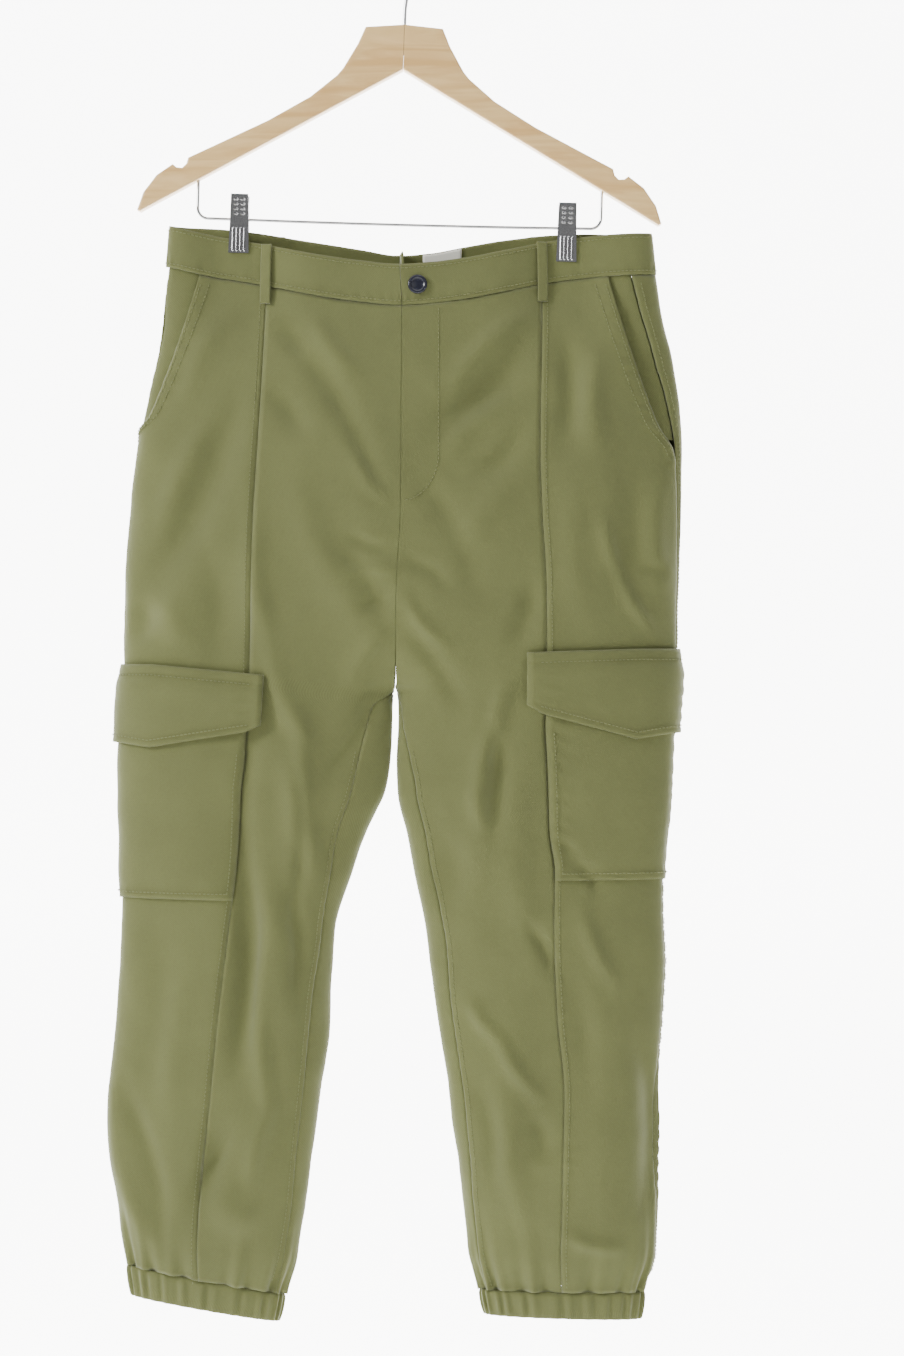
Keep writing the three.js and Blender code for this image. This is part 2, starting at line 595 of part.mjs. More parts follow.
// A belt loop: a strip from the band's top edge to below its seam, bowed out in the middle.
function beltLoop(label, name, centreAt) {
  const columns = (n, z) => [-0.5, 0, 0.5].map((t) => centreAt(n, z) + t * LOOP_WIDTH);
  const rows = [0, 0.15, 0.5, 0.75, 1].map((share) => (point) =>
    waistTop(point) - 0.5 - LOOP_HEIGHT * share,
  );
  const bows = [0.2, 0.9, 1.6, 0.8, 0.4];
  const lift = ({ down }) => BAND_PROUD + SEAM_GAP + CLOTH + bows[down];
  return piece(`belt_loop_${label}`, wall(grid(name, columns, rows), { lift }), twill);
}
const backLoopAt = (name, z) => distanceAtX(name, z, HALVES[name].out * BACK_LOOP_X, "back");
const centreBackAt = (name, z) => loopAt(name, z).total;

// The facing behind the fly opening, which the curved line of stitches holds.
function flyFacing() {
  const width = (z) => FLY_WIDTH * Math.sqrt(1 - clamp01((-440 - z) / (-440 - FLY_BOTTOM)) ** 2);
  const columns = spread(() => 0.2, (n, z) => 2 + width(z), 3);
  const levels = [-325, -360, -400, -440, -462, -476, FLY_BOTTOM];
  const rows = levels.map((level, j) => (point) =>
    j ? level : bandBottom(point) - 2 * SEAM_GAP,
  );
  const lift = () => -CLOTH - SEAM_GAP - 0.15;
  return piece("fly_facing", wall(grid("left", columns, rows), { lift }), twill);
}

// A plain woven label inside the back of the band.
function bandLabel() {
  const at = (x) => (name, z) => distanceAtX(name, z, x, "back");
  const columns = spread(at(LABEL.fromX), at(LABEL.toX), 3);
  const rows = [0, 0.5, 1].map((share) => (point) =>
    waistBack(point.x) - LABEL.below - LABEL.height * share,
  );
  const lift = () => BAND_PROUD - BAND_WALL - SEAM_GAP;
  return piece("label", wall(grid("left", columns, rows), { lift, thickness: 0.8 }), tape);
}

function waistButton() {
  const r = BUTTON.radius;
  const profile = [
    [0, 0],
    [r - 1, 0],
    [r, 0.9],
    [r - 0.4, 2.2],
    [r - 1.6, 2.6],
    [r - 2.8, 1.9],
    [0, 1.9],
  ].map(([x, y]) => new THREE.Vector2(x, y));
  const mesh = piece("waist_button", new THREE.LatheGeometry(profile, 24), blackPlastic);
  const distance = distanceAtX("left", BUTTON.z, BUTTON.x);
  const normal = outward("left", BUTTON.z, distance);
  mesh.position
    .copy(surface("left", BUTTON.z, distance))
    .addScaledVector(normal, BAND_PROUD + SEAM_GAP + 0.2);
  mesh.quaternion.setFromUnitVectors(new THREE.Vector3(0, 1, 0), normal);
  return mesh;
}

// ---------------------------------------------------------------- hanger
const box = (width, depth, height, x, y, z) =>
  new THREE.BoxGeometry(width, depth, height).translate(x, y, z);

// A round wire along a curve, as one closed body.
function wire(curve, radius, steps, sides) {
  const circle = new THREE.Shape();
  for (let i = 0; i < sides; i++) {
    const angle = (2 * Math.PI * i) / sides;
    const [x, y] = [radius * Math.cos(angle), radius * Math.sin(angle)];
    if (i) circle.lineTo(x, y);
    else circle.moveTo(x, y);
  }
  return new THREE.ExtrudeGeometry(circle, { steps, extrudePath: curve });
}
const inPlane = (x, z) => new THREE.Vector3(x, 0, z);

// Both arms in one outline: the sloping shoulders with a strap notch, and the straight underside.
function armsOutline() {
  const shape = new THREE.Shape();
  const side = (out) => [
    [out * 32.7, -89.8],
    [out * 39, -104.6],
    [out * 50.9, -125.4],
    [out * 55.9, -131.5],
    [out * 77.9, -150],
    [out * 113, -171],
    [out * 148, -188.5],
    [out * 179.5, -204.2],
    [out * 181, -209.5],
    [out * 184.5, -213],
    [out * 189, -212.6],
    [out * 192.6, -210],
    [out * 205.9, -219.7],
    [out * 216.5, -234.4],
    [out * 221.5, -249.4],
    [out * 219, -250.6],
  ];
  const points = [[0, -87], ...side(1), [0, -125.1], ...side(-1).reverse()];
  points.forEach(([x, z], i) => (i ? shape.lineTo(x, z) : shape.moveTo(x, z)));
  shape.closePath();
  const bevel = 1.6;
  const made = new THREE.ExtrudeGeometry(shape, {
    depth: ARM_DEPTH - 2 * bevel,
    bevelThickness: bevel,
    bevelSize: bevel,
    bevelOffset: -bevel,
    bevelSegments: 2,
  });
  return made.translate(0, 0, bevel - ARM_DEPTH / 2).rotateX(Math.PI / 2);
}

const stemBore = () =>
  new THREE.CylinderGeometry(HOOK_WIRE + SEAM_GAP, HOOK_WIRE + SEAM_GAP, 60, 16)
    .rotateX(Math.PI / 2)
    .translate(0, 0, STEM_FOOT - SEAM_GAP + 30);
const barBore = (out) =>
  new THREE.CylinderGeometry(BAR_WIRE + SEAM_GAP, BAR_WIRE + SEAM_GAP, 40, 12)
    .rotateX(Math.PI / 2)
    .translate(out * BAR.halfWidth, 0, BAR.top + SEAM_GAP - 20);

function hangerArm(name) {
  const { out } = HALVES[name];
  const otherHalf = box(300, 40, 260, -out * (150 - SEAM_GAP / 2), 0, -170);
  const made = cut(armsOutline(), otherHalf, stemBore(), barBore(out));
  return piece(`hanger_arm_${name}`, made, wood);
}

function hook() {
  const r = HOOK_RADIUS + HOOK_WIRE;
  const onArc = (degrees) => {
    const angle = THREE.MathUtils.degToRad(degrees);
    return inPlane(r * Math.cos(angle), -HOOK_RADIUS + r * Math.sin(angle));
  };
  const points = [inPlane(0, STEM_FOOT), inPlane(0, -95), inPlane(0, -78), inPlane(1.2, -62)];
  points.push(inPlane(6.5, -49));
  for (let degrees = -45; degrees <= 205; degrees += 25) points.push(onArc(degrees));
  const curve = new THREE.CatmullRomCurve3(points, false, "centripetal");
  return piece("hook", wire(curve, HOOK_WIRE, 44, 8), steel);
}

function bar() {
  const { halfWidth, top, bottom, corner } = BAR;
  const path = new THREE.CurvePath();
  const bend = (from, via, to) => path.add(new THREE.QuadraticBezierCurve3(from, via, to));
  const straight = (from, to) => path.add(new THREE.LineCurve3(from, to));
  const [l, r] = [-halfWidth, halfWidth];
  straight(inPlane(l, top), inPlane(l, bottom + corner));
  bend(inPlane(l, bottom + corner), inPlane(l, bottom), inPlane(l + corner, bottom));
  straight(inPlane(l + corner, bottom), inPlane(r - corner, bottom));
  bend(inPlane(r - corner, bottom), inPlane(r, bottom), inPlane(r, bottom + corner));
  straight(inPlane(r, bottom + corner), inPlane(r, top));
  return piece("bar", wire(path, BAR_WIRE, 64, 6), steel);
}

// ---------------------------------------------------------------- clips
// One plate of a clip, for the front: a tapered sheet that leans out above the bar, with two columns
// of ovals over four ribs, and ears that turn on the bar.
function clipPlate(earX) {
  const { top, bottom, halfTop, halfBottom, plate } = CLIP;
  const lean = 3.2; // how much further out the plate is at its top
  const bendZ = BAR.bottom - 5;
  const outline = new THREE.Shape();
  outline.moveTo(-JAW_Y, bottom);
  outline.lineTo(-JAW_Y, bendZ);
  outline.lineTo(-JAW_Y - lean, top);
  outline.lineTo(-JAW_Y - lean - plate, top);
  outline.lineTo(-JAW_Y - plate, bendZ);
  outline.lineTo(-JAW_Y - plate, bottom);
  outline.closePath();
  const profile = new THREE.ExtrudeGeometry(outline, { depth: 2 * halfBottom, bevelEnabled: false });
  profile.applyMatrix4(
    new THREE.Matrix4().makeBasis(
      new THREE.Vector3(0, 1, 0),
      new THREE.Vector3(0, 0, 1),
      new THREE.Vector3(1, 0, 0),
    ),
  );
  profile.translate(-halfBottom, 0, 0);
  const p = profile.getAttribute("position");
  for (let i = 0; i < p.count; i++) {
    const t = (p.getZ(i) - bottom) / (top - bottom);
    p.setX(i, (p.getX(i) * lerp(halfBottom, halfTop, t)) / halfBottom);
  }
  const parts = [profile];
  const outY = (z) => -JAW_Y - plate - lean * clamp01((z - bendZ) / (top - bendZ));
  for (const x of [-4.8, -1.6, 1.6, 4.8]) {
    const y = -JAW_Y - plate;
    parts.push(new THREE.CapsuleGeometry(0.9, 19, 1, 6).rotateX(Math.PI / 2).translate(x, y, -272));
  }
  for (const x of [-2.9, 2.9]) {
    for (const z of [-238.5, -242.5, -246.5, -250.5]) {
      const bump = new THREE.SphereGeometry(1, 6, 4).scale(2.1, 0.7, 1.5);
      parts.push(bump.translate(x, outY(z), z));
    }
  }
  for (const x of [-earX, earX]) {
    const y = -JAW_Y / 2 - plate / 2 + 1.4;
    parts.push(box(0.8, JAW_Y + plate + 2.8, 9, x, y, BAR.bottom + 0.5));
  }
  const bore = new THREE.CylinderGeometry(BAR_WIRE + SEAM_GAP, BAR_WIRE + SEAM_GAP, 30, 12)
    .rotateZ(Math.PI / 2)
    .translate(0, 0, BAR.bottom);
  return cut(join(...parts), bore);
}

function clip(name) {
  const x = CLIP_XS[name];
  const front = clipPlate(6.6).translate(x, 0, 0);
  const back = clipPlate(5.2).rotateZ(Math.PI).translate(x, 0, 0);
  const [inside, outside] = [BAR_WIRE + SEAM_GAP, JAW_Y - SEAM_GAP];
  const ring = [
    [inside, -3.8],
    [outside, -3.8],
    [outside, 3.8],
    [inside, 3.8],
    [inside, -3.8],
  ].map(([r, y]) => new THREE.Vector2(r, y));
  const spring = new THREE.LatheGeometry(ring, 16).rotateZ(Math.PI / 2).translate(x, 0, BAR.bottom);
  return [
    piece(`clip_front_${name}`, front, steel),
    piece(`clip_back_${name}`, back, steel),
    piece(`clip_spring_${name}`, spring, steel),
  ];
}

// ---------------------------------------------------------------- the whole part
const trousers = new THREE.Group();
for (const name of ["right", "left"]) {
  trousers.add(frontPanel(name), sidePanel(name), backPanel(name));
  trousers.add(pocketBearer(name), cargoPocket(name), cargoFlap(name));
  trousers.add(cuff(name), waistband(name));
  trousers.add(beltLoop(`front_${name}`, name, seamAt));
  trousers.add(beltLoop(`back_${name}`, name, backLoopAt));
}
trousers.add(beltLoop("centre_back", "right", centreBackAt));
trousers.add(flyFacing(), waistButton(), bandLabel());

const hanger = new THREE.Group();
hanger.add(hangerArm("right"), hangerArm("left"), hook(), bar(), ...clip("right"), ...clip("left"));
hanger.rotation.y = HANGER_TILT;

const model = new THREE.Group();
model.add(trousers, hanger);
export default model;
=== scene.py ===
"""Olive cargo trousers with elastic cuffs, clipped by the waistband to a wooden hanger.

Every cloth piece lies on one surface. At each height a half of the garment is a flattened loop:
t runs from 0 at the inner edge over the front to 1 at the side fold, and round the back to 2.
Sizes in the tables are millimetres, and the meshes are metres.
"""

import math

import bpy
import numpy as np
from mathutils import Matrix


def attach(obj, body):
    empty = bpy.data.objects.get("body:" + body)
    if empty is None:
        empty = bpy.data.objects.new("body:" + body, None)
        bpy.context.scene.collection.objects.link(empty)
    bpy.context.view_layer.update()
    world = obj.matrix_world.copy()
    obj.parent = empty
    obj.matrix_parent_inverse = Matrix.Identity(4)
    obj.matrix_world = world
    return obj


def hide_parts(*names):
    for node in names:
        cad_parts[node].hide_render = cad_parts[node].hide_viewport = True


bl_info = {
    "name": "Hanging Cargo Trousers",
    "version": (1, 0, 0),
    "blender": (4, 5, 0),
    "location": "View3D > Sidebar > Trousers",
    "description": "Builds olive cargo trousers on a wooden clip hanger",
    "category": "Add Mesh",
}

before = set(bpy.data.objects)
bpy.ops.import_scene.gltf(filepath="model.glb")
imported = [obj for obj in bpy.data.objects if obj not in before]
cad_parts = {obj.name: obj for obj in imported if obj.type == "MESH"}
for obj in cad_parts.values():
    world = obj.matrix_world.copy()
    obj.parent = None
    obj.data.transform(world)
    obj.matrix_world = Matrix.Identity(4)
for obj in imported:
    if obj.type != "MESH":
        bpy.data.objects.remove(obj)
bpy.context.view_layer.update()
MM = 0.001
MOST_AREA = 0.999  # the cap on a sheet's stated area, as a share of width times length

# ---------------------------------------------------------------- tables of the garment
CROTCH_Z = -649.0
CROTCH_RISE = 84.0
FOLD_RADIUS = 4.0
JAW_HALF_DEPTH = 2.1
BAND_HEIGHT = 35.0
JAWS = ((-142.6, -279.8), (134.3, -287.2))  # bottom middle of each clip's jaws: x, z
OUT = {"right": -1.0, "left": 1.0}
MOUTH_TOP_Z = -298.0  # where the hand pockets' mouths would meet the waist
BAR_RADIUS, HOOK_WIRE_RADIUS = 1.3, 1.65
HANGER_LEAN = 1.55  # degrees, clockwise about the hook as seen from the front
STITCH_LENGTH, STITCH_WIDTH = 0.0023, 0.0008  # in metres
CREASE_GAIN = 2.1  # how much deeper than their table the creases are pressed

# Down each half: height, side fold, front panel seam, inner edge, inside leg seam, half depth.
RIGHT_ROWS = np.array([
    (-250, -201, -118, -6, 0, 11), (-290, -204, -118.5, -6, 0, 12),
    (-324, -208.5, -119.5, -4.5, 0, 15), (-361, -213, -121, -4.5, 0, 19),
    (-404, -222, -123, -5, 0, 23), (-446, -227, -125.5, -5, 0, 26),
    (-497, -234, -128.5, -5.5, 0, 28), (-564, -240, -130.5, -9, 0, 29),
    (-649, -241, -132.5, -10, 0, 28), (-662, -241, -133, -11.5, 15, 27.5),
    (-678, -240.5, -134, -12, 20, 27), (-708, -240, -136, -14, 26, 27),
    (-734, -240, -139, -18, 28, 27), (-767, -240, -140.5, -33, 24, 26),
    (-801, -240, -143, -45, 18, 26), (-852, -242, -149.5, -59.5, 11, 26),
    (-920, -245, -158, -63, 17, 26), (-987, -250, -164.5, -73, 14, 26),
    (-1038, -247.5, -170, -79, 13, 26), (-1089, -243, -175, -86, 11, 25),
    (-1123, -238, -176, -93, 10, 22), (-1157, -233, -175, -103, 8, 17),
    (-1190, -230, -175, -110, 7, 15),
])
LEFT_ROWS = np.array([
    (-250, 205, 113, -6, 0, 11), (-290, 209, 113.5, -6, 0, 12),
    (-324, 214, 114, -4.5, 0, 15), (-361, 222, 113.5, -4.5, 0, 19),
    (-404, 229, 112.5, -5, 0, 23), (-446, 232, 112, -5, 0, 26),
    (-497, 231.5, 113.5, -5.5, 0, 28), (-564, 230, 117, -9, 0, 29),
    (-649, 227, 117.5, -10, 0, 28), (-662, 225, 117, -8.2, 2, 27.5),
    (-678, 223, 116, -8, 4, 27), (-708, 220.5, 117.5, -9, 11, 27),
    (-734, 219, 118.5, -8, 15, 27), (-767, 217.5, 119.5, -0.5, 15, 26),
    (-801, 216, 124, 6, 14, 26), (-852, 217, 123.5, 16, 15, 26),
    (-920, 215.5, 126, 25, 12, 26), (-987, 213, 132, 34.5, 12, 26),
    (-1038, 213.5, 131, 40.5, 11, 26), (-1089, 212, 130, 47, 9, 25),
    (-1123, 209, 129, 53, 7, 22), (-1157, 200, 130, 61.5, 6, 17),
    (-1190, 196, 130, 68, 6, 15),
])
# The waistband's top edge: x, height at the front, height at the back.
WAIST_ROWS = np.array([
    (-206, -256, -256), (-165, -265, -258.5), (-134, -270, -261.5), (-75, -282, -269.5),
    (-40, -287, -275), (-7, -290, -280), (20, -288.5, -278), (50, -284.5, -272.5),
    (85, -277.5, -267), (125, -269, -264), (165, -265, -263), (212, -263, -263),
])
# Hand pocket mouths: top x, end x, end height, gape.  Side seams: past the fold at waist and knee.
MOUTH = {"right": (-175, -229, -446, 2.0), "left": (169, 224, -458, 5.0)}
SIDE_SEAM = {"right": (2.0, 9.0), "left": (-12.0, -3.0)}
# Cargo pockets: top, bottom at the front, bottom at the side, reach round the back.
CARGO = {"right": (-650, -826, -822, 56), "left": (-632, -809, -808, 60)}
# Flaps: front top, side top, drop at the edges, drop at the point, overhang, reach round.
FLAP = {"right": (-636, -627, 46, 70, 6, 64), "left": (-617, -614, 48, 76, 8, 68)}
FLAP_POINT = {"right": 215.0, "left": 193.0}  # how far out each flap's point lies
# Cuffs: inner top, outer top, inner bottom, outer bottom.
CUFF = {"right": (-1159, -1134, -1182, -1160), "left": (-1155, -1157, -1176, -1180)}

# Broad folds on each face: x, z, to x, to z, width, how far out they stand.
BROAD_FOLDS = {
    "front": (
        (-92, -600, -100, -1000, 22, 5), (-124, -690, -140, -960, 13, -5),
        (-60, -340, -30, -560, 34, 3), (90, -370, 20, -480, 30, -3),
        (150, -350, 170, -590, 26, 3), (62, -640, 44, -900, 20, 4), (90, -920, 60, -1080, 22, 4),
    ),
    "back": (
        (-110, -560, -125, -980, 28, 5), (105, -600, 120, -1000, 28, 5),
        (-70, -420, -20, -600, 30, -4), (60, -430, 10, -610, 30, -4),
    ),
}
# Creases laid over them, in the same columns.
CREASES = {
    "front": (
        # right hip and side panel
        (-142, -404, -226, -573, 13, -2.6), (-160, -420, -205, -520, 9, 1.8),
        (-164, -537, -158, -622, 12, -2.4), (-220, -576, -228, -608, 9, -1.8),
        (-196, -570, -190, -610, 10, 2.0), (-150, -330, -185, -400, 9, 1.4),
        # right leg
        (-128, -505, -116, -607, 8, 2.4), (-114, -620, -84, -690, 8, 2.2),
        (-90, -690, -78, -800, 8, 2.4), (-118, -690, -112, -850, 9, 2.6),
        (-97, -700, -95, -840, 5, -1.8), (-134, -830, -142, -960, 9, -3.2),
        (-158, -1020, -178, -1082, 9, -3.0), (-116, -850, -116, -1000, 7, 2.6),
        (-117, -1000, -130, -1066, 7, 2.2), (-96, -826, -94, -905, 6, -2.0),
        (-145, -1016, -172, -1056, 5, -1.4), (-160, -1072, -130, -1100, 14, 2.2),
        (-250, -990, -216, -1114, 8, 2.6), (-236, -990, -205, -1110, 7, -2.2),
        (-205, -850, -222, -1000, 14, -1.8), (-185, -880, -196, -1010, 10, 1.6),
        # front, right of the fly
        (-110, -341, -87, -364, 8, -1.6), (-87, -364, -23, -488, 8, -2.2),
        (-113, -398, -87, -433, 8, -1.6), (-79, -337, -44, -381, 7, 1.8),
        (-44, -450, -18, -490, 6, 1.8), (-60, -520, -14, -600, 9, -1.6),
        (-95, -470, -40, -590, 12, 1.8), (-12, -532, -48, -520, 5, -1.5),
        (-12, -548, -52, -552, 4, 1.3), (-12, -566, -44, -580, 5, -1.4),
        (-14, -596, -50, -640, 6, 1.6), (-20, -640, -70, -720, 7, -1.8),
        # front, left of the fly
        (98, -334, 37, -398, 8, 2.2), (101, -358, 34, -424, 11, -2.8),
        (80, -407, 34, -450, 8, 2.0), (98, -432, 63, -467, 8, -2.0),
        (96, -470, 40, -540, 10, 1.6), (10, -470, 60, -560, 9, -1.6),
        (0, -540, 34, -560, 5, -1.2), (0, -575, 30, -610, 5, 1.4), (2, -600, 44, -660, 7, -1.5),
        # left hip and side panel
        (134, -355, 134, -440, 9, -2.8), (158, -370, 158, -440, 9, 2.2),
        (166, -505, 177, -548, 4.5, 1.7), (177, -548, 204, -596, 4.5, 1.7),
        (197, -546, 217, -549, 4, -1.2), (190, -470, 180, -560, 12, -1.8),
        (140, -480, 150, -590, 10, 1.4), (210, -480, 214, -560, 8, 1.8),
        # left leg
        (106, -559, 91, -612, 8, -2.4), (85, -643, 74, -682, 6, 2.2),
        (74, -682, 61, -721, 6, 2.4), (61, -721, 63, -764, 6, 2.4), (74, -690, 72, -764, 6, -1.8),
        (38, -775, 36, -828, 12, -2.6), (98, -700, 100, -860, 12, 1.6),
        (126, -775, 141, -792, 4.5, -1.4), (141, -792, 161, -818, 4.5, -1.4),
        (53, -911, 78, -943, 6, 1.8), (78, -943, 107, -987, 6, 2.0),
        (104, -848, 122, -884, 5, -2.0), (148, -835, 173, -894, 6, 2.0),
        (199, -954, 202, -1080, 9, -3.0), (112, -1010, 113, -1040, 7, -1.8),
        (134, -1107, 180, -1118, 5, 1.6), (88, -1000, 96, -1090, 9, 1.8),
        (165, -930, 160, -1060, 12, 1.6), (60, -980, 72, -1060, 7, -1.6),
        (140, -900, 150, -1040, 9, -1.6),
    ),
    "back": (
        (-30, -470, -150, -590, 11, -2.2), (-50, -520, -160, -660, 10, 2.0),
        (30, -480, 150, -600, 11, -2.2), (40, -530, 170, -650, 9, 2.2),
        (-14, -600, -90, -700, 8, -2.4), (0, -600, 70, -690, 8, -2.2),
        (-60, -700, -130, -790, 9, 2.0), (50, -700, 110, -800, 9, -2.0),
        (-90, -830, -170, -900, 9, -2.2), (-80, -880, -150, -960, 8, 2.0),
        (70, -850, 160, -910, 9, 2.2), (60, -900, 140, -980, 8, -2.0),
        (-190, -900, -200, -1080, 12, 2.2), (170, -880, 180, -1080, 12, -2.2),
        (-120, -340, -110, -470, 14, 1.8), (110, -340, 100, -470, 14, -1.8),
        (-180, -430, -190, -600, 14, -1.8), (185, -420, 190, -590, 12, 1.8),
    ),
}


# ---------------------------------------------------------------- the surface
def curve(rows, column, at):
    """A monotone cubic through a table's column, read at an array of heights or places."""
    order = np.argsort(rows[:, 0])
    x, y = rows[order, 0], rows[order, column]
    step = np.diff(x)
    slope = np.diff(y) / step
    tangent = np.zeros_like(y)
    tangent[0], tangent[-1] = slope[0], slope[-1]
    product = slope[:-1] * slope[1:]
    total = slope[:-1] + slope[1:]
    tangent[1:-1] = np.where(product > 0, 2 * product / np.where(total == 0, 1, total), 0)
    i = np.clip(np.searchsorted(x, at) - 1, 0, len(x) - 2)
    u = np.clip((at - x[i]) / step[i], 0, 1)
    return (y[i] * (1 + 2 * u) * (1 - u) ** 2 + y[i + 1] * u * u * (3 - 2 * u)
            + tangent[i] * step[i] * u * (1 - u) ** 2 - tangent[i + 1] * step[i] * u * u * (1 - u))


def rows_of(half):
    return RIGHT_ROWS if half == "right" else LEFT_ROWS


def smooth(u):
    u = np.clip(u, 0, 1)
    return u * u * (3 - 2 * u)


def bell(u):
    return np.exp(-u * u)


def blend(a, b, u):
    return a + (b - a) * u


def ridges(table, front, x, z, past, fade, spread=1.0, bend=0.0):
    """The sum of soft ridges. Each is a bell across its line, and fades over a share of the line
    from a little past each end. A raised ridge bows to one side by a share of its length, and a
    sunk one to the other."""
    total = np.zeros_like(x)
    for face, lines in table.items():
        shown = front if face == "front" else ~front
        for x0, z0, x1, z1, width, height in lines:
            length = math.hypot(x1 - x0, z1 - z0)
            u = ((x - x0) * (x1 - x0) + (z - z0) * (z1 - z0)) / length**2
            across = ((x - x0) * (z1 - z0) - (z - z0) * (x1 - x0)) / length
            bow = math.copysign(bend * length, height) * np.sin(np.pi * np.clip(u, 0, 1))
            ends = smooth((u + past) / fade) * smooth((1 + past - u) / fade)
            total += np.where(shown, height * ends * bell((across - bow) / (spread * width)), 0)
    return total


def openness(x, z):
    """1 far from the clips and 0 between their jaws."""
    left = np.ones_like(x)
    for jaw_x, jaw_z in JAWS:
        across = bell(np.maximum(0, np.abs(x - jaw_x) - 10) / 30)
        left = left * (1 - across * bell(np.maximum(0, jaw_z - z) / 60))
    return left


def inner_edge(half, z):
    turned = np.clip((CROTCH_Z + CROTCH_RISE - z) / CROTCH_RISE, 0, 1) ** 2
    return curve(rows_of(half), 3, z) + OUT[half] * (0.15 + 0.6 * turned), turned


def bare_surface(half, z, t):
    """x runs from the inner edge to the fold as half a cosine, and y is the half depth times a
    squarish round at the fold, and at the inner edge where the rise seam has turned under."""
    rows = rows_of(half)
    share = (1 - np.cos(np.pi * t)) / 2
    front = np.mod(t, 2) < 1
    inner, turned = inner_edge(half, z)
    outer, depth = curve(rows, 1, z), curve(rows, 5, z)
    x = blend(inner, outer, share)
    power = np.clip(2 * FOLD_RADIUS * np.abs(outer - inner) / depth**2, 3.5, 16)
    rounding = np.sqrt(np.clip(1 - share**power, 0, 1)) * np.sqrt(
        np.clip(1 - turned * (1 - share) ** power, 0, 1))
    opened = openness(x, z)
    depth = depth + ridges(BROAD_FOLDS, front, x, z, 0.1, 0.35)
    y = (depth * opened + JAW_HALF_DEPTH * (1 - opened)) * rounding
    return np.stack([x, np.where(front, -y, y), z], axis=-1)


def t_at(half, z, x, back=False):
    """The t at which the front, or the back, passes x: the half cosine turned round."""
    inner, _ = inner_edge(half, z)
    share = np.clip((x - inner) / (curve(rows_of(half), 1, z) - inner), 0, 1)
    t = np.arccos(1 - 2 * share) / np.pi
    return 2 - t if back else t


def t_past_fold(half, z, mm):
    """The t that lies some millimetres of cloth past the side fold."""
    rows = rows_of(half)
    depth = np.maximum(curve(rows, 5, z), 6)
    inner, _ = inner_edge(half, z)
    width = np.abs(curve(rows, 1, z) - inner)
    near = depth * 1.9 * np.pi / 2
    reach = np.sign(mm) * np.minimum(np.abs(mm) / near, 0.16)
    rest = np.sign(mm) * np.maximum(np.abs(mm) - near * 0.16, 0)
    return 1 + reach + rest / (width * np.pi / 2 * 0.42)


def t_seam(half, z):
    return t_at(half, z, curve(rows_of(half), 2, z))


def t_side(half, z):
    waist, knee = SIDE_SEAM[half]
    return t_past_fold(half, z, blend(waist, knee, np.clip((-300 - z) / 340, 0, 1)))


def t_inseam(half, z):
    inner, _ = inner_edge(half, z)
    offset = np.where(z < CROTCH_Z, curve(rows_of(half), 4, z), 0)
    return np.where(offset > 0, t_at(half, z, inner + OUT[half] * offset), 0)


def down_mouth(half, z):
    return (MOUTH_TOP_Z - z) / (MOUTH_TOP_Z - MOUTH[half][2])


def t_mouth(half, z):
    top_x, end_x, _, _ = MOUTH[half]
    down = down_mouth(half, z)
    bow = 3.0 * np.sin(np.pi * np.clip(down, 0, 1)) * OUT[half]
    edge = t_at(half, z, blend(top_x, end_x, np.clip(down, 0, 1)) - bow)
    side = t_side(half, z)
    eased = blend(edge, side, smooth((down - 0.8) / 0.2))
    return np.where(down >= 1, side, np.minimum(eased, side))


def waist_top(x, y):
    return np.where(y <= 0, curve(WAIST_ROWS, 1, x), curve(WAIST_ROWS, 2, x))


def cuff_line(half, x, z, which):
    inner, _ = inner_edge(half, z)
    across = np.clip((x - inner) / (curve(rows_of(half), 1, z) - inner), 0, 1)
    return blend(CUFF[half][which], CUFF[half][which + 1], across)


_lattice = np.random.default_rng(41).uniform(-1, 1, (64, 64, 64))


def wander(x, y, z, size):
    """Smooth seeded noise: a lattice of random numbers, eased between its points."""
    parts = [np.asarray(c, float) / size + 1000 for c in (x, y, z)]
    base = [np.floor(c).astype(int) for c in parts]
    easy = [smooth(c - b) for c, b in zip(parts, base)]
    total = 0
    for i in (0, 1):
        for j in (0, 1):
            for k in (0, 1):
                weight = ((easy[0] if i else 1 - easy[0]) * (easy[1] if j else 1 - easy[1])
                          * (easy[2] if k else 1 - easy[2]))
                total = total + weight * _lattice[(base[0] + i) % 64, (base[1] + j) % 64,
                                                  (base[2] + k) % 64]
    return total


def pucker(distance, along, pitch, reach=5.0):
    """Gathered waves beside a line of stitches: they fade with distance from it, unevenly."""
    phase = 2 * np.pi * along / pitch + 2.2 * wander(along, 0, 7, 38)
    return np.sin(phase) * bell(distance / reach) * (0.6 + 0.6 * wander(along, 3, 0, 55))


